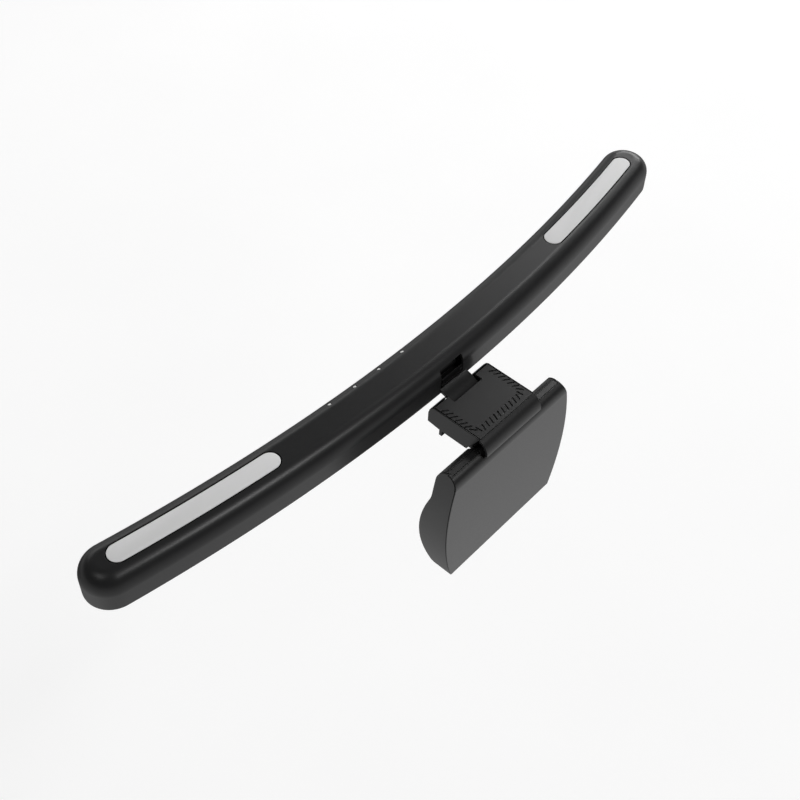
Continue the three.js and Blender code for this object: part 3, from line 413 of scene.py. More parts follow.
def opal(name, level):
    """Milky acrylic: even, slightly warm, with a soft skin and faint flow marks."""
    made, tree, shader = nodes_of(name)
    cloud = ranged(tree, noise(tree, 30, 4, stretch=(0.4, 1, 1)), 0, 1)
    colour = blended(tree, cloud, grey(level * 0.985), grey(level * 1.01))
    gloss = ranged(tree, noise(tree, 260, 4), 0.50, 0.58)
    normal = bumped(tree, noise(tree, 4200, 2), 0.000006, 0.4)
    feed(shader, Base_Color=colour, Roughness=gloss, Normal=normal, Specular_IOR_Level=0.3)
    feed(shader, Subsurface_Weight=0.12, Subsurface_Radius=(0.002, 0.002, 0.0018))
    return made


def rubber(name, level):
    """Silicone rubber: matt, with a dusty bloom and a fine orange-peel skin."""
    made, tree, shader = nodes_of(name)
    bloom = ranged(tree, noise(tree, 160, 8, roughness=0.7), 0, 1, (0.45, 0.75))
    colour = blended(tree, bloom, grey(level), grey(level * 2.1))
    gloss = ranged(tree, noise(tree, 700, 3), 0.72, 0.9)
    normal = bumped(tree, noise(tree, 2600, 4), 0.00004, 0.5)
    feed(shader, Base_Color=colour, Roughness=gloss, Normal=normal)
    return made


def brushed(name, level, roughness, stretch):
    """Drawn or turned steel: streaks along the axis that stretch keeps small."""
    made, tree, shader = nodes_of(name)
    streaks = noise(tree, 900, 5, stretch=stretch, roughness=0.65)
    tone = ranged(tree, streaks, 0, 1)
    colour = blended(tree, tone, grey(level * 0.82, (1, 1, 1.01)), grey(level, (1, 1, 1.01)))
    gloss = ranged(tree, streaks, roughness * 0.75, roughness * 1.3)
    normal = bumped(tree, streaks, 0.00001, 0.5)
    feed(shader, Base_Color=colour, Roughness=gloss, Normal=normal, Metallic=1)
    return made


def grid_lines(tree, pitch, share):
    """Lines across X and lines across Y, 1 on a line and 0 between. pitch is in metres."""
    coordinates = tree.nodes.get("Texture Coordinate") or add(tree, "ShaderNodeTexCoord")
    split = add(tree, "ShaderNodeSeparateXYZ", Vector=coordinates.outputs["Object"])
    lines = []
    for axis in ("X", "Y"):
        cell = add(tree, "ShaderNodeMath", {"operation": "PINGPONG"})
        tree.links.new(split.outputs[axis], cell.inputs[0])
        cell.inputs[1].default_value = pitch / 2
        line = add(tree, "ShaderNodeMath", {"operation": "LESS_THAN"})
        tree.links.new(cell.outputs[0], line.inputs[0])
        line.inputs[1].default_value = pitch / 2 * share
        lines.append(line.outputs[0])
    return lines


def circuit(name, mask, bare):
    """A circuit board: solder mask over tracks that stand a little proud of it."""
    made, tree, shader = nodes_of(name)
    along, across = grid_lines(tree, 0.0016, 0.18)
    broken = ranged(tree, noise(tree, 420, 0), 0, 1, (0.49, 0.5))
    track = add(tree, "ShaderNodeMix", Factor=broken, A=along, B=across).outputs["Result"]
    cloud = ranged(tree, noise(tree, 300, 3), 0.9, 1.1)
    colour = blended(tree, track, mask, bare)
    shaded = add(tree, "ShaderNodeHueSaturation", Color=colour, Value=cloud)
    gloss = ranged(tree, noise(tree, 900, 3), 0.34, 0.5)
    normal = bumped(tree, track, 0.00004, 0.8)
    feed(shader, Base_Color=shaded.outputs["Color"], Roughness=gloss, Normal=normal)
    return made


def ribbon(name):
    """A flexible printed lead: amber film with copper strips that run along it."""
    made, tree, shader = nodes_of(name)
    _, strips = grid_lines(tree, 0.0007, 0.55)
    film = ranged(tree, noise(tree, 200, 3), 0, 1)
    base = blended(tree, film, (0.30, 0.12, 0.02), (0.42, 0.19, 0.04))
    colour = blended(tree, strips, base, (0.55, 0.24, 0.10))
    gloss = ranged(tree, strips, 0.45, 0.3, (0, 1))
    normal = bumped(tree, strips, 0.00003, 0.7)
    feed(shader, Base_Color=colour, Roughness=gloss, Normal=normal)
    return made


MATERIALS = {
    "bar_black": moulded("bar_black_satin", 0.020, 0.31, 0.14, specular=0.23, relief=0.22),
    "clip_black": moulded("clip_black_satin", 0.017, 0.36, 0.18, specular=0.3),
    # The arm's plastic is a darker copy of the clip's: partly the arm's own tone, partly painted
    # shade for its shield inside the bar's slot.
    "arm_tone_and_shade": moulded("arm_tone_and_shade_satin", 0.008, 0.30, 0.16, specular=0.24),
    "weight_black": moulded("weight_black_satin", 0.013, 0.34, 0.18),
    "opal": opal("opal_acrylic", 0.78),
    "white_plastic": moulded("white_plastic", 0.78, 0.42, 0.2, tint=(1, 1, 0.985)),
    "circuit_board": circuit("green_board", (0.008, 0.060, 0.026), (0.018, 0.130, 0.050)),
    "led_board": circuit("white_board", (0.72, 0.71, 0.66), (0.62, 0.60, 0.52)),
    "ribbon": ribbon("flexible_lead"),
    "steel": brushed("drawn_steel", 0.56, 0.30, (0.06, 1, 1)),
    "blackened": brushed("black_zinc_steel", 0.05, 0.34, (0.06, 1, 1)),
    # Near-black paint for the windows' sides and ledges: painted shade that darkens their joints
    # with the housing.
    "joint_shade_black": moulded("painted_joint_shade", 0.004, 0.8, 0.2, specular=0.05),
    "rubber": rubber("silicone_rubber", 0.012),
    "insert": moulded("acetal_insert", 0.045, 0.40, 0.12),
}

# -------- putting pieces on the frame


def edge_rounding(made, width, segments=3, angle=38):
    """Rounds every edge that is sharper than an angle, and keeps the flats flat."""
    bevel = made.modifiers.new("soft edges", "BEVEL")
    bevel.limit_method = "ANGLE"
    bevel.angle_limit = math.radians(angle)
    bevel.width = width * MM
    bevel.segments = segments
    bevel.miter_outer = "MITER_ARC"
    bevel.use_clamp_overlap = False
    bevel.harden_normals = False
    flats = made.modifiers.new("flat faces", "WEIGHTED_NORMAL")
    flats.keep_sharp = True
    for face in made.data.polygons:
        face.use_smooth = True


def set_piece(
    made, name, body, nodes, slot, edge=0.25, segments=3, at=None, angle=38, finish=None
):
    """Finishes a piece, gives it its body and its material, and hides the CAD nodes it stands for.
    """
    made.name = name
    made.data.name = name
    if at is not None:
        moved(made, Matrix.Translation(at))
    if edge:
        edge_rounding(made, edge, segments, angle)
    else:
        for face in made.data.polygons:
            face.use_smooth = True
        made.data.set_sharp_from_angle(angle=math.radians(angle))
    made.data.materials.clear()
    made.data.materials.append(MATERIALS[finish or slot])
    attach(made, body)
    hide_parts(*nodes)


def dress(node, slot, edge=0.15):
    """Soft edges and a material for a CAD node that stays."""
    made = frame["nodes"][node]
    weld = made.modifiers.new("one skin", "WELD")
    weld.merge_threshold = 1e-6
    plain = made.modifiers.new("whole faces", "DECIMATE")
    plain.decimate_type = "DISSOLVE"
    plain.angle_limit = math.radians(0.5)
    edge_rounding(made, edge, 2)
    made.data.materials.clear()
    made.data.materials.append(MATERIALS[slot])


# -------- light bar


def housing():
    """The bar's shell, open below, with windows, touch holes, screw bosses and the arm's slot."""
    rim = [(RIM - u, BAR_BOTTOM + RIM - v) for v, u in arc((0, 0), RIM, 0, 90, 22.5)]
    crown = arc((0, 0), FILLET, 0, 90, 5)
    outside = rim + [(FILLET - u, BAR_TOP - FILLET + v) for u, v in crown]
    shoulder = arc((0, 0), FILLET - WALL, 0, 90, 9)
    inside = [(0, BAR_BOTTOM - 1)]
    inside += [(FILLET - WALL - u, BAR_TOP - FILLET + v) for u, v in shoulder]
    shell = cut(
        band(-TIP, TIP, BAR_HALF, outside),
        band(-TIP + WALL, TIP - WALL, BAR_HALF - WALL, inside),
    )
    boss_low, boss_top = BAR_BOTTOM + FRAME_THICKNESS + 0.5, 7.6
    for s in FRAME_SCREWS:
        at = on_arc(s, FRAME_SCREW_OFFSET)
        shell = join(shell, rod("z", at, BOSS_RADIUS, boss_low, boss_top))
        shell = cut(shell, rod("z", at, SCREW_HOLE, BAR_BOTTOM, 0))
    for side in (-1, 1):
        start, end = sorted((side * WINDOW_FROM, side * WINDOW_TO))
        straight = [(0, 5), (0, BAR_TOP + 1)]
        shell = cut(shell, band(start, end, WINDOW_HALF, straight, WINDOW_OFFSET))
    for s in TOUCH_SPOTS:
        hole = rod("z", (0, 0), TOUCH_HOLE, -4, 1)
        shell = cut(shell, moved(hole, touch_matrix(s)))
    opening = rectangle((-SLOT_HALF, SLOT_BOTTOM), (SLOT_HALF, SLOT_TOP), 0.8)
    shell = cut(shell, prism("y", opening, 10, 20))
    set_piece(shell, "housing_shell", "bar", ["bar_housing"], "bar_black", 0.15, 3, BAR_AT)


def windows():
    """The two light boxes, each with a face that fills its window but for a fine joint."""
    margin = SKIRT_HALF - WINDOW_HALF
    wall = 0.9
    for side, name in ((1, "right"), (-1, "left")):
        start, end = sorted((side * WINDOW_FROM, side * WINDOW_TO))

        def layer(grow, profile):
            return band(start - grow, end + grow, WINDOW_HALF + grow, profile, WINDOW_OFFSET)

        face = layer(-WINDOW_GAP, soft_profile(7.8, BAR_TOP - 0.05, 0.35))
        skirt = layer(margin, soft_profile(4.2, SKIRT_TOP, 0.2))
        hollow = layer(margin - wall, [(0, 3), (0, 7.6)])
        lens = join(cut(skirt, hollow), face)
        node = "backlight_diffuser_" + name
        set_piece(lens, "window_" + name, "bar", [node], "opal", 0, at=BAR_AT, angle=50)
        shade_window_joint(lens)


def shade_window_joint(lens):
    """Blackens a window's sides and ledge with painted shade, so that its joint with the housing
    looks dark, as a shaded gap does.
    """
    ledge, crown, facing_up = SKIRT_TOP - 0.05, SKIRT_TOP + 0.5, 0.6
    lens.data.materials.append(MATERIALS["joint_shade_black"])
    for face in lens.data.polygons:
        height = face.center.z / MM - BAR_Z
        is_top = height > crown and face.normal.z > facing_up
        face.material_index = 1 if height > ledge and not is_top else 0


def touch_dots():
    """Pale light pipes that end in small domes, just under the bar's skin."""
    sunk, depth, chamfer = 0.3, 3.6, 0.15
    dome = [(TOUCH_RADIUS * c, TOUCH_DOME * h - sunk) for c, h in arc((0, 0), 1, 0, 75, 15)]
    foot = [(TOUCH_RADIUS - chamfer, -depth), (TOUCH_RADIUS, chamfer - depth)]
    profile = [*foot, *dome, (0.05, -0.06)]
    for i, s in enumerate(TOUCH_SPOTS):
        pipe = turned("z", (0, 0), profile, 32)
        moved(pipe, touch_matrix(s))
        node = f"touch_mark_{i + 1}"
        set_piece(pipe, f"touch_dot_{i + 1}", "bar", [node], "white_plastic", 0, at=BAR_AT)


def underside():
    """The plate that closes the bar from below, with the lamp's slot and the USB-C mouth."""
    inset = WALL + GAP
    low, high = BAR_BOTTOM + 0.2, BAR_BOTTOM + FRAME_THICKNESS
    plate = band(-TIP + inset, TIP - inset, BAR_HALF - inset, soft_profile(low, high, 0.25))
    slot = band(-LAMP_REACH, LAMP_REACH, LAMP_HALF, [(0, low - 1), (0, high + 1)], LAMP_OFFSET)
    plate = cut(plate, slot)
    for s in FRAME_SCREWS:
        at = on_arc(s, FRAME_SCREW_OFFSET)
        head_room = rod("z", at, 2.1, low - 1, low + 0.9)
        plate = cut(plate, head_room, rod("z", at, 1.3, low, high + 1))
    for x in (27, 57):  # the control board's posts
        plate = join(plate, rod("z", (x, 6), 1.8, low + 0.5, -1.8))
    mouth = capsule(USB_AT, USB_HALF[0] + 0.25, USB_HALF[1] + 0.25)
    plate = cut(plate, prism("z", mouth, low - 1, high + 1))
    set_piece(plate, "underside_frame", "bar", ["bottom_frame"], "bar_black", 0.18, 2, BAR_AT)


def lamp_window():
    """The main diffuser: its face fills the slot below, and its flange lies on the plate."""
    low = BAR_BOTTOM + 0.3
    flange_low = BAR_BOTTOM + FRAME_THICKNESS + GAP
    reach, half = LAMP_REACH - GAP, LAMP_HALF - GAP
    face = band(-reach, reach, half, soft_profile(low, flange_low + 0.5, 0.3), LAMP_OFFSET)
    flange_profile = soft_profile(flange_low, flange_low + 0.9, 0.15)
    flange = band(-LAMP_REACH - 1, LAMP_REACH + 1, LAMP_HALF + 1, flange_profile, LAMP_OFFSET)
    lens = join(face, flange)
    set_piece(lens, "lamp_window", "bar", ["main_diffuser"], "opal", 0, at=BAR_AT, angle=50)


def usb_socket():
    """The USB-C can and the tongue inside it."""

    def inside(wall, low, top):
        outline = capsule(USB_AT, USB_HALF[0] - wall, USB_HALF[1] - wall)
        return prism("z", outline, low, top)

    shell = cut(inside(0, USB_LOW, USB_TOP), inside(USB_WALL, USB_LOW - 1, USB_TOP - 0.8))
    set_piece(shell, "usb_can", "bar", ["usb_shell"], "steel", 0.1, 2, BAR_AT)
    x, y = USB_AT
    half_wide, half_thick = 3.3, 0.35
    base = inside(USB_WALL + 0.15, USB_TOP - 2.95, USB_TOP - 0.95)
    blade = rectangle((x - half_wide, y - half_thick), (x + half_wide, y + half_thick), 0.2)
    blade = prism("z", blade, USB_LOW + 0.8, USB_TOP - 1.95)
    tongue = join(base, blade)
    set_piece(tongue, "usb_blade", "bar", ["usb_tongue"], "insert", 0.08, 2, BAR_AT)


# -------- arm and clip


def arm_strip(y_start, y_end, inset=0.0):
    """A stretch of the arm's bent sheet, in y and z. An inset makes it thinner on both faces."""
    outer = ARM_RADIUS - inset
    inner = ARM_RADIUS - ARM_THICKNESS + inset

    def angle(y, radius):
        return 90 - math.degrees(math.asin((y - ARM_CENTRE[0]) / radius))

    end = angle(y_end, outer)
    outside = arc(ARM_CENTRE, outer, end, angle(y_start, outer), 3)
    return outside + arc(ARM_CENTRE, inner, angle(y_start, inner), end, 3)


def tilt_arm():
    """The arm: a bent sheet from the tilt knuckle to the clip's floor, with the slot's shield."""
    foot_low = CLIP_FLOOR + GAP - BAR_Z
    foot_top = foot_low + 2
    foot_end = ARM_CENTRE[0] + math.sqrt(ARM_RADIUS**2 - (foot_top - ARM_CENTRE[1]) ** 2)
    # Neck and tongue overlap, and the neck is a little thinner, so that no faces coincide.
    tongue_start, neck_end, thinner = 15.7, 16.4, 0.03
    tongue = prism("x", arm_strip(tongue_start, foot_end), -ARM_HALF, ARM_HALF)
    foot_y = (foot_end - ARM_THICKNESS, foot_end + 11)
    foot = block((-ARM_HALF, ARM_HALF), foot_y, (foot_low, foot_top))
    neck = prism("x", arm_strip(5, neck_end, thinner), -NECK_HALF, NECK_HALF)
    knuckle = rod("x", TILT, 3.6, -KNUCKLE_HALF, KNUCKLE_HALF)
    web = rectangle((TILT[0] - 2.4, -5.9), (TILT[0] + 2.4, -3))
    shield_from, shield_to = -27, 14  # degrees about the tilt pin
    shield = arc(TILT, 8.1, shield_from, shield_to, 3)
    shield += arc(TILT, 7.4, shield_to, shield_from, 3)
    arm = join(
        knuckle,
        prism("x", web, -KNUCKLE_HALF, KNUCKLE_HALF),
        neck,
        prism("x", shield, -NECK_HALF, NECK_HALF),
        tongue,
        foot,
    )
    for side in (-1, 1):
        at = (side * ARM_SCREW_X, ARM_SCREW_Y - BAR_Y)
        arm = cut(arm, rod("z", at, 1.3, foot_low - 1, foot_top + 1))
    arm = cut(arm, rod("x", TILT, PIN_HOLE, -20, 20))
    nodes = ["tilt_arm"]
    # Its finish is a darker copy of the clip's plastic, partly painted shade for the shield in the
    # slot's recess.
    set_piece(arm, "bent_arm", "clip", nodes, "clip_black", 0.25, 3, BAR_AT, finish="arm_tone_and_shade")


def clip_side():
    """The clip's side in y and z: its rear edge runs round the barrel and up to the hood."""
    round_gap = BARREL + 0.6
    rise = math.degrees(math.asin((CLIP_BOTTOM - HINGE[1]) / round_gap))
    points = [(CLIP_FRONT, 1.2), (LIP_FRONT, CLIP_BOTTOM)]
    points += arc(HINGE, round_gap, 180 - rise, NECK_FROM, 3)
    points += [(CREASE - GAP, CLIP_TOP - 0.8), (CREASE - GAP, CLIP_TOP)]
    return points + CHAMFER[::-1]


def barrel_point(radius, angle):
    """A point in y and z at a radius and an angle, in degrees, about the barrel's axis."""
    a = math.radians(angle)
    return (HINGE[0] + radius * math.cos(a), HINGE[1] + radius * math.sin(a))


def clip_body():
    """The clip's tray: walls, lip, the neck with its knuckle, and the seats of the screws."""
    half, inner, floor = CLIP_HALF, CLIP_HALF - WALL, CLIP_FLOOR
    rear, above, boss_low = CREASE + 1, CLIP_TOP + 1, 5
    seat = HOOD_TOP - HOOD_FLANGE - GAP
    room = [(CLIP_FRONT + WALL, floor), (5.4, floor), (8.6, 5.6), (rear, 15), (rear, 20)]
    room += [(-15.4, 20), (CLIP_FRONT + WALL, 9)]
    pad_low, pad_high = box_mm("rest_pad")
    lip_low = box_mm("lip_pad")[0]
    lip = block((-half, half), (LIP_FRONT, lip_low.y - GAP), (lip_low.z - GAP, 1))
    body = cut(
        join(prism("x", clip_side(), -half, half), lip),
        prism("x", room, -inner, inner),
        block((-inner - 1, inner + 1), (-16.5, rear), (CLIP_TOP - 1.5, above)),
        block((-NOTCH_HALF, NOTCH_HALF), (CLIP_FRONT - 1, -15), (boss_low, above)),
        block((-inner, inner), (boss_low, rear), (seat, above)),
        block(
            (pad_low.x - GAP, pad_high.x + GAP),
            (pad_low.y - GAP, pad_high.y + GAP),
            (CLIP_BOTTOM - 1, pad_high.z + GAP),
        ),
    )
    near, reach = 3, BARREL + 1.1
    corners = ((near, NECK_FROM), (reach, NECK_FROM), (reach, NECK_TO), (near, NECK_TO))
    neck = [barrel_point(radius, angle) for radius, angle in corners]
    knuckle = inner - 0.4
    body = join(
        body,
        prism("x", neck, -knuckle, knuckle),
        rod("x", HINGE, 4.8, -knuckle, knuckle),
    )
    boss = 2.4
    for side in (-1, 1):
        x, y = side * HOOD_SCREW_X, HOOD_SCREW_Y
        web = block((x - boss, x + boss), (y - 2, y + 1), (boss_low - 1, boss_low + 2.4))
        body = join(body, rod("z", (x, y), boss, boss_low, seat), web)
        body = cut(body, rod("z", (x, y), SCREW_HOLE, boss_low + 2, seat + 1))
        arm_screw = (side * ARM_SCREW_X, ARM_SCREW_Y)
        body = cut(body, rod("z", arm_screw, SCREW_HOLE, 1.9, floor + 1))
    body = cut(body, rod("x", HINGE, PIN_HOLE, -30, 30))
    set_piece(body, "clip_body", "clip", ["clip_base"], "clip_black", 0.22, 3)


GROOVE_PITCH = 3.27
GROOVE_HALF_LENGTH, GROOVE_HALF_WIDTH = 2.25, 0.5
# The groove's round section, as (inset, depth below the plate's top), from its floor up.
GROOVE_SECTION = ((0.30, -0.60), (0.18, -0.54), (0.08, -0.38), (0, -0.12), (-0.05, 0.6))


def groove_places():
    """Where the slanted grooves lie on the cover, as (x, y, angle): two sides and the rear."""
    first_y = -11
    places = []
    for side in (-1, 1):
        places += [(side * 20.2, first_y + i * GROOVE_PITCH, 147) for i in range(6)]
        places += [(side * 20, first_y + 6 * GROOVE_PITCH, 124), (side * 17.6, 10.6, 96)]
    return places + [(-14.7 + i * GROOVE_PITCH, 11.5, 69) for i in range(10)]


def cover_plate():
    """The clip's top plate: a notch for the arm, and slanted grooves along three of its edges."""
    half = CLIP_HALF - 1.05
    low = CLIP_TOP - 1.2
    front = CHAMFER[-1][0] + 0.1
    plate = block((-half, half), (front, CREASE - 0.05), (low, CLIP_TOP))
    notch = block((-NOTCH_HALF, NOTCH_HALF), (front - 5, -11.4), (low - 1, CLIP_TOP + 1))
    plate = cut(plate, notch)
    for x, y, angle in groove_places():
        rings = []
        for inset, z in GROOVE_SECTION:
            outline = capsule((0, 0), GROOVE_HALF_LENGTH - inset, GROOVE_HALF_WIDTH - inset)
            rings.append([(u, v, z) for u, v in outline])
        place = Matrix.Translation((x, y, CLIP_TOP)) @ Matrix.Rotation(math.radians(angle), 4, "Z")
        plate = cut(plate, moved(loft(rings), place))
    set_piece(plate, "cover_plate", "clip", ["clip_cover"], "clip_black", 0.08, 2)


def hood():
    """The bent cover over the hinge, whose flange lies under the cover plate."""
    radius, skin, low_edge = 8.4, 1.6, 4.5
    front, top, under = 6.5, HOOD_TOP, HOOD_TOP - HOOD_FLANGE
    inner_start = 64  # degrees, where the hood's inner curve meets the flange
    centre = (WEIGHT_BACK - radius, CLIP_TOP - radius)
    start = math.degrees(math.acos((CREASE - centre[0]) / radius))
    outline = [(WEIGHT_BACK, low_edge), *arc(centre, radius, 0, start, 3)]
    outline += [(CREASE, top), (front, top), (front, under), (CREASE, under)]
    outline += [*arc(centre, radius - skin, inner_start, 0, 3), (WEIGHT_BACK - skin, low_edge)]
    made = prism("x", outline, -CLIP_HALF, CLIP_HALF)
    inner = CLIP_HALF - WALL - GAP
    for side in (-1, 1):
        edge = sorted((side * inner, side * (CLIP_HALF + 1)))
        made = cut(made, block(edge, (0, CREASE), (8, top + 0.1)))
        at = (side * HOOD_SCREW_X, HOOD_SCREW_Y)
        made = cut(made, rod("z", at, 1.3, 9, 14), rod("z", at, 2.3, top - 0.5, 14))
    set_piece(made, "hood_cover", "clip", ["hinge_hood"], "clip_black", 0.2, 3)


# -------- counterweight
#
# What is cut away or kept with a prism or a rod runs well past the counterweight, to 30 or 60 mm.


def weight_outline(inset, top, bottom):
    """The counterweight's outline in x and z, shrunk by an inset."""
    radius = SIDE_RADIUS - inset
    centre = WEIGHT_HALF - SIDE_RADIUS

    def angle(z):
        return math.degrees(math.asin((z - WIDEST_Z) / radius))

    right = arc((centre, WIDEST_Z), radius, angle(bottom), angle(top), 1.5)
    left = arc((-centre, WIDEST_Z), radius, 180 - angle(top), 180 - angle(bottom), 1.5)
    return right + left


def bulge_angle(z, radius=BULGE_RADIUS):
    """The angle, in degrees, at which the bulge's arc or one beside it is at a height."""
    return 180 - math.degrees(math.asin((z - BULGE_CENTRE[1]) / radius))


def weight_side():
    """The counterweight's side in y and z: the barrel, the flat back and the bulging front."""
    barrel_front = HINGE[0] - BARREL
    points = arc(HINGE, BARREL, 0, 180, 4)
    bend = [(barrel_front, -12.5), (barrel_front, -16), (7, BULGE_TOP)]
    steps = 8
    for i in range(steps):
        t = i / steps
        weights = ((1 - t) ** 2, 2 * t * (1 - t), t**2)
        points.append(tuple(sum(w * p[k] for w, p in zip(weights, bend)) for k in (0, 1)))
    low = WEIGHT_BOTTOM + 1.5
    points += arc(BULGE_CENTRE, BULGE_RADIUS, bulge_angle(BULGE_TOP), bulge_angle(low), 1.5)
    return points + [(9.2, WEIGHT_BOTTOM), (WEIGHT_BACK, WEIGHT_BOTTOM)]


def weight_form():
    """The whole counterweight, before it is parted into two shells."""
    reach = WEIGHT_HALF + 1
    outline = weight_outline(0, HINGE[1] + BARREL + 1, WEIGHT_BOTTOM - 1)
    return common(prism("x", weight_side(), -reach, reach), prism("y", outline, -10, 30))


def cover_sheet(depth, skin, margin):
    """A sheet over the back and the rear quarter of the barrel, in y and z."""
    inner = BARREL - skin - margin
    y = HINGE[0] - margin
    front = WEIGHT_BACK - depth - margin
    outline = [(40, -100), (40, 30), (y, 30), *arc((y, HINGE[1]), inner, 90, 0, 4)]
    return prism("x", outline + [(front, HINGE[1]), (front, -100)], -60, 60)


def cover_zone(margin):
    """What belongs to the rear cover: its sheet, which thins to a fine lip all round."""
    outline = weight_outline(LIP_WIDTH - margin, 30, WEIGHT_BOTTOM + LIP_WIDTH - margin)
    middle = common(cover_sheet(COVER_DEPTH, SKIN, margin), prism("y", outline, -20, 60))
    return join(middle, cover_sheet(LIP_DEPTH, LIP_DEPTH, margin))


def end_grooves():
    """The fine joint round the barrel's two ends, in front of the rear cover."""
    depth, from_end, to_end = 0.45, 0.36, 0.80
    ring = cut(rod("x", HINGE, BARREL + 2, -60, 60), rod("x", HINGE, BARREL - depth, -61, 61))
    ring = common(ring, block((-60, 60), (-20, HINGE[0] + 0.2), (HINGE[1] - 4, 30)))
    outer = prism("y", weight_outline(from_end, 30, -60), -30, 60)
    inner = prism("y", weight_outline(to_end, 31, -61), -31, 61)
    return common(cut(outer, inner), ring)


def neck_slot(bore):
    """The barrel's opening for the clip's neck, wide enough for the whole swing."""
    half = CLIP_HALF + 0.6
    swing_from, swing_to = 46, 183  # degrees round the barrel
    sector = [HINGE, *arc(HINGE, BARREL + 2, swing_from, swing_to, 4)]
    opening = prism("x", sector, -half, half)
    return join(opening, rod("x", HINGE, bore, -half, half))


def seam_channels():
    """What the two seam strips are let into, along the top of the barrel."""
    y = (HINGE[0] - SEAM_HALF, HINGE[0] + SEAM_HALF)
    made = []
    for side in (-1, 1):
        x = sorted((side * (SEAM_FROM - 0.2), side * SEAM_TO))
        made.append(block(x, y, (SEAM_TOP - SEAM_DEPTH - 0.2, SEAM_TOP + 5)))
    return made


def bulge_slab(outer, inner, half_width, half_height):
    """A slab that follows the bulge, between two radii."""
    high, low = BULGE_CENTRE[1] + half_height, BULGE_CENTRE[1] - half_height
    outline = arc(BULGE_CENTRE, outer, bulge_angle(high, outer), bulge_angle(low, outer), 1)
    outline += arc(BULGE_CENTRE, inner, bulge_angle(low, inner), bulge_angle(high, inner), 1)
    return prism("x", outline, -half_width, half_width)


def rear_shell():
    """The flat back and the rear of the barrel, with four posts for the shell screws."""
    cover = common(weight_form(), cover_zone(0))
    for x, z in SHELL_SCREWS:
        cover = join(cover, rod("y", (x, z), BOSS_RADIUS, 15.5, COVER_FRONT + 0.4))
    cover = cut(cover, neck_slot(BARREL - SKIN - 0.2), *seam_channels())
    for x, z in SHELL_SCREWS:
        cover = cut(cover, rod("y", (x, z), SCREW_HOLE, 14, COVER_FRONT - 0.3))
    nodes = ["weight_rear_cover"]
    set_piece(cover, "rear_shell", "counterweight", nodes, "weight_black", 0.22, 3)


def front_shell():
    """The bulging front and the front of the barrel, hollow for the steel weight."""
    wall = 1.8
    radius = BULGE_RADIUS - wall
    ledge_y, ledge_z = 10.2, -10.6
    room = [(30, ledge_z), (ledge_y, ledge_z), (ledge_y, -16)]
    room += arc(BULGE_CENTRE, radius, bulge_angle(-20, radius), bulge_angle(-81.5, radius), 2)
    room += [(30, WEIGHT_BOTTOM + wall)]
    outline = weight_outline(wall, -10, WEIGHT_BOTTOM + wall - 0.2)
    hollow = common(prism("x", room, -60, 60), prism("y", outline, -10, 30))
    shell = cut(weight_form(), cover_zone(GAP), hollow)
    for x, z in SHELL_SCREWS:
        shell = join(shell, rod("y", (x, z), 3, 8, 15.2))
    for x, z in SHELL_SCREWS:
        shell = cut(shell, rod("y", (x, z), 1.3, 0, 16), rod("y", (x, z), 2.5, 0, 11.5))
    recess = bulge_slab(BULGE_RADIUS + 2, BULGE_RADIUS - 0.7, 20.3, 13.8)
    shell = cut(shell, neck_slot(BARREL - SKIN), *seam_channels(), recess)
    shell = cut(shell, rod("x", HINGE, 5.3, -34.3, 34.3), end_grooves())
    nodes = ["weight_front_shell"]
    set_piece(shell, "front_shell", "counterweight", nodes, "weight_black", 0.14, 3)


# -------- rubber pads


def rest_pad():
    """The foot that rests on the monitor: a slab with round ribs across its underside."""
    low, high = box_mm("rest_pad")
    slab = prism("z", rectangle(low.xy, high.xy, 1.5), low.z + 0.4, high.z)
    count, margin, radius = 9, 1.1, 0.45
    pitch = (high.y - low.y - 2 * margin) / (count - 1)
    for i in range(count):
        y = low.y + margin + i * pitch
        rib = arc((y, low.z + radius), radius, 180, 360, 15)
        rib += [(y + radius, 0.8), (y - radius, 0.8)]
        slab = join(slab, prism("x", rib, low.x + 1, high.x - 1))
    set_piece(slab, "ribbed_rest_pad", "clip", ["rest_pad"], "rubber", 0.05, 2)


def lip_pad():
    """The strip on the lip that keeps the bezel from slipping."""
    low, high = box_mm("lip_pad")
    strip = prism("y", rectangle((low.x, low.z), (high.x, high.z), 1.2), low.y, high.y - 0.25)
    count, margin = 14, 2.0
    pitch = (high.x - low.x - 2 * margin) / (count - 1)
    for i in range(count):
        x = low.x + margin + i * pitch
        rib = rectangle((x - 0.5, low.z + 0.7), (x + 0.5, high.z - 0.7), 0.45)
        strip = join(strip, prism("y", rib, low.y + 0.3, high.y))
    set_piece(strip, "ribbed_lip_pad", "clip", ["lip_pad"], "rubber", 0.1, 2)


def back_pad():
    """The pad that leans on the monitor's back, with ribs across it."""
    low, high = box_mm("back_pad")
    half_height = (high.z - low.z) / 2
    proud, deep = 0.5, 0.4
    pad = bulge_slab(BULGE_RADIUS + proud - 0.3, BULGE_RADIUS - deep, high.x, half_height)
    outline = rectangle((low.x + 0.01, low.z + 0.01), (high.x - 0.01, high.z - 0.01), 3)
    pad = common(pad, prism("y", outline, low.y - 2, high.y + 4))
    count, margin = 11, 2.2
    span = high.z - low.z - 2 * margin
    for i in range(count):
        z = low.z + margin + span * i / (count - 1)
        angle = math.radians(bulge_angle(z))
        out = Vector((math.cos(angle), math.sin(angle)))
        across = Vector((-out.y, out.x))
        top = Vector(BULGE_CENTRE) + out * (BULGE_RADIUS + proud)
        rib = [top - across * 0.6 - out * 0.5, top - across * 0.3, top + across * 0.3]
        rib.append(top + across * 0.6 - out * 0.5)
        pad = join(pad, prism("x", [tuple(p) for p in rib], low.x + 1.6, high.x - 1.6))
    set_piece(pad, "ribbed_back_pad", "counterweight", ["back_pad"], "rubber", 0.1, 2)


# -------- fasteners

OUTWARD = {
    "up": Matrix.Identity(4),
    "down": Matrix.Rotation(math.pi, 4, "X"),
    "front": Matrix.Rotation(math.pi / 2, 4, "X"),
}


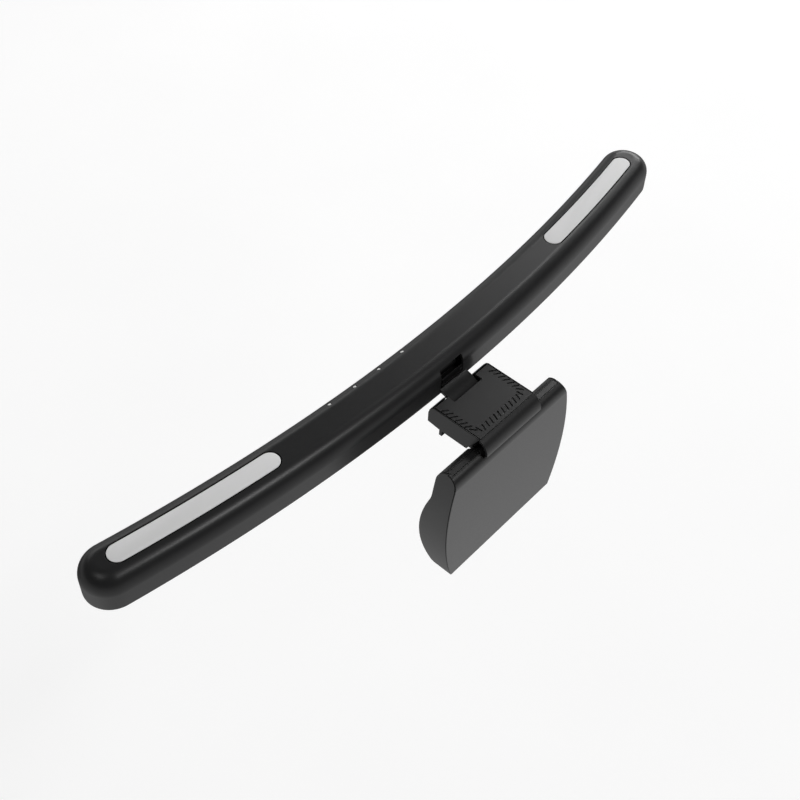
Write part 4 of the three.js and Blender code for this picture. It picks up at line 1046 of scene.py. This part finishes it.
def cross_screw(node, name, body, way, head_height, turn):
    """A cross-recess screw in a CAD screw's place, with its head towards a way."""
    low, high = box_mm(node)
    size = high - low
    along = 1 if way == "front" else 2
    length = size[along] - head_height
    head = size[0] / 2
    threads = []
    pitch, root, crest = 0.6, 0.82, 0.98
    for i in range(int((length - 1) / pitch)):
        start = -length + 0.8 + i * pitch
        threads += [(root, start), (crest, start + pitch * 0.4), (root, start + pitch * 0.8)]
    # From the tip up the thread, over the head's flat underside and round its crown.
    crown = [(head * c, head_height * (0.4 + 0.6 * h)) for c, h in arc((0, 0), 1, 0, 75, 15)]
    profile = [(0.2, -length), *threads, (0.9, -0.25), (0.9, 0), (head - 0.08, 0), (head, 0.08)]
    body_form = turned("z", (0, 0), [*profile, *crown], 32)
    deep = head_height * 0.65
    slot = head * 0.62
    wide = head * 0.13
    for quarter in (0, math.pi / 2):
        rings = []
        for scale, z in ((0.35, head_height - deep), (1, head_height + 0.2)):
            rings.append([(u * scale, v, z) for u, v in rectangle((-slot, -wide), (slot, wide))])
        cross = moved(loft(rings), Matrix.Rotation(quarter + turn, 4, "Z"))
        body_form = cut(body_form, cross)
    centre = (low + high) / 2
    place = Vector(centre)
    if way == "up":
        place.z = high.z - head_height
    elif way == "down":
        place.z = low.z + head_height
    else:
        place.y = low.y + head_height
    moved(body_form, Matrix.Translation(place) @ OUTWARD[way])
    set_piece(body_form, name, body, [node], "steel", 0.03, 1, angle=50)


def fasteners():
    draw = random.Random(7)
    groups = (
        ("frame_screw_", range(1, 7), "bar", "down", 0.6),
        ("bracket_screw_", ("left", "right"), "bar", "down", 1.2),
        ("arm_screw_", ("left", "right"), "clip", "up", 1.2),
        ("hood_screw_", ("left", "right"), "clip", "up", 0.5),
        ("shell_screw_", range(1, 5), "counterweight", "front", 1.2),
    )
    for stem, ends, body, way, head_height in groups:
        for end in ends:
            node = f"{stem}{end}"
            name = node.replace("screw", "fastener")
            cross_screw(node, name, body, way, head_height, draw.uniform(0, math.pi))


# -------- stage


FLOOR_Z = -820
FLOOR_HALF = 60000
FLOOR_GLOW = 0.70


def stage():
    """A pale floor that glows, as a light table does, and isn't mirrored in the object's gloss."""
    corners = rectangle((-FLOOR_HALF, -FLOOR_HALF), (FLOOR_HALF, FLOOR_HALF))
    floor = solid("floor", [(x, y, FLOOR_Z) for x, y in corners], [[0, 1, 2, 3]])
    made, tree, shader = nodes_of("floor_paper")
    tone = ranged(tree, noise(tree, 3, 3), 0, 1)
    colour = blended(tree, tone, grey(0.34), grey(0.36))
    feed(shader, Base_Color=colour, Roughness=0.9, Specular_IOR_Level=0.1)
    feed(shader, Emission_Color=(1, 1, 1, 1), Emission_Strength=FLOOR_GLOW)
    floor.data.materials.append(made)
    floor.visible_glossy = False


CAMERA_AIM = Vector((24.15, -39.85, 3.52))
CAMERA_AZIMUTH, CAMERA_ELEVATION, CAMERA_ROLL = 130.66, 48.71, 2.05
CAMERA_DISTANCE, CAMERA_LENS = 679.5, 55.16


def direction(azimuth, elevation):
    """The direction from the object towards a view. Azimuth 0 looks along +Y."""
    a, e = math.radians(azimuth), math.radians(elevation)
    return Vector((math.sin(a) * math.cos(e), -math.cos(a) * math.cos(e), math.sin(e)))


def camera():
    data = bpy.data.cameras.new("camera")
    data.lens = CAMERA_LENS
    data.clip_start, data.clip_end = 0.01, 50
    made = bpy.data.objects.new("camera", data)
    back = direction(CAMERA_AZIMUTH, CAMERA_ELEVATION)
    a = math.radians(CAMERA_AZIMUTH)
    right = Vector((math.cos(a), math.sin(a), 0))
    turn = Matrix((right, back.cross(right), back)).transposed()
    roll = Matrix.Rotation(math.radians(CAMERA_ROLL), 3, "Z")
    place = Matrix.Translation((CAMERA_AIM + back * CAMERA_DISTANCE) * MM)
    made.matrix_world = place @ (turn @ roll).to_4x4()
    bpy.context.scene.collection.objects.link(made)
    bpy.context.scene.camera = made


# Softboxes that face the object: name, azimuth, elevation, width and height in metres, watts.
LIGHTS = [
    ("left_low_softbox", 290, 20, 3.2, 1.3, 78),
    ("left_wide_softbox", 285, 37, 5.4, 1.3, 48),
    ("left_key_light", 282, 49, 0.9, 0.7, 20),
    ("front_softbox", 343, 24, 4.0, 1.5, 36),
    ("rear_strip_light", 202, 56, 1.8, 0.7, 66),
    ("rear_top_softbox", 205, 70, 1.3, 1.3, 6),
    ("side_fill_softbox", 75, 62, 2.0, 2.0, 30),
]
LIGHT_DISTANCE = 5.0


def lights():
    for name, azimuth, elevation, width, height, power in LIGHTS:
        data = bpy.data.lights.new(name, "AREA")
        data.shape = "ELLIPSE"
        data.size, data.size_y = width, height
        data.energy = power
        made = bpy.data.objects.new(name, data)
        towards = direction(azimuth, elevation)
        made.location = towards * LIGHT_DISTANCE
        made.rotation_euler = towards.to_track_quat("Z", "Y").to_euler()
        bpy.context.scene.collection.objects.link(made)


# What the world sends from the horizon, from above, and from below in front of and behind the
# object. Between them it changes over these elevations, in degrees, and over this range of the
# cosine with the rearward direction.
HORIZON_GLOW, SKY_GLOW, FRONT_GLOW, REAR_GLOW = 0.74, 0.03, 0.10, 1.03
HORIZON_END, SKY_START, BELOW_FROM, BELOW_TO = 2, 16, -4, -16
FRONT_TO_REAR = (-0.64, 0.24)
REARWARD = (0.45, 0.93, 0)
BACKDROP = 0.95


def studio():
    """The surroundings: pale at the horizon and behind the object, dark in front and above.

    The camera itself sees an even, pale backdrop.
    """
    world = bpy.data.worlds.new("studio")
    world.use_nodes = True
    tree = world.node_tree
    coordinates = add(tree, "ShaderNodeTexCoord").outputs["Generated"]
    height = add(tree, "ShaderNodeSeparateXYZ", Vector=coordinates).outputs["Z"]
    rearward = add(tree, "ShaderNodeVectorMath", {"operation": "DOT_PRODUCT"})
    tree.links.new(coordinates, rearward.inputs[0])
    rearward.inputs[1].default_value = REARWARD
    upward = [math.sin(math.radians(a)) for a in (HORIZON_END, SKY_START)]
    downward = [math.sin(math.radians(a)) for a in (BELOW_FROM, BELOW_TO)]
    above = ranged(tree, height, HORIZON_GLOW, SKY_GLOW, upward)
    below = ranged(tree, rearward.outputs["Value"], FRONT_GLOW, REAR_GLOW, FRONT_TO_REAR)
    depth = ranged(tree, height, 0, 1, downward)
    glow = add(tree, "ShaderNodeMix", Factor=depth, A=above, B=below).outputs["Result"]
    seen = add(tree, "ShaderNodeLightPath").outputs["Is Camera Ray"]
    strength = add(tree, "ShaderNodeMix", Factor=seen, A=glow, B=BACKDROP)
    background = tree.nodes["Background"]
    feed(background, Color=(1, 1, 1, 1), Strength=strength.outputs["Result"])
    bpy.context.scene.world = world
    bpy.context.scene.view_settings.view_transform = "Standard"


camera()
stage()
lights()
studio()

housing()
windows()
touch_dots()
underside()
lamp_window()
usb_socket()
tilt_arm()
clip_body()
cover_plate()
hood()
rear_shell()
front_shell()
rest_pad()
lip_pad()
back_pad()
fasteners()

DRESSED = {
    "main_reflector": "white_plastic",
    "main_led_board": "led_board",
    "backlight_board_right": "led_board",
    "backlight_board_left": "led_board",
    "ribbon_lead_right": "ribbon",
    "ribbon_lead_left": "ribbon",
    "control_board": "circuit_board",
    "touch_board": "circuit_board",
    "tilt_bracket": "blackened",
    "tilt_pin": "steel",
    "lock_nut": "steel",
    "friction_washer_left": "insert",
    "friction_washer_right": "insert",
    "hinge_pin": "steel",
    "steel_weight": "steel",
    "hinge_bush_left": "insert",
    "hinge_bush_right": "insert",
    "seam_strip_left": "weight_black",
    "seam_strip_right": "weight_black",
}
for node, slot_name in DRESSED.items():
    dress(node, slot_name)
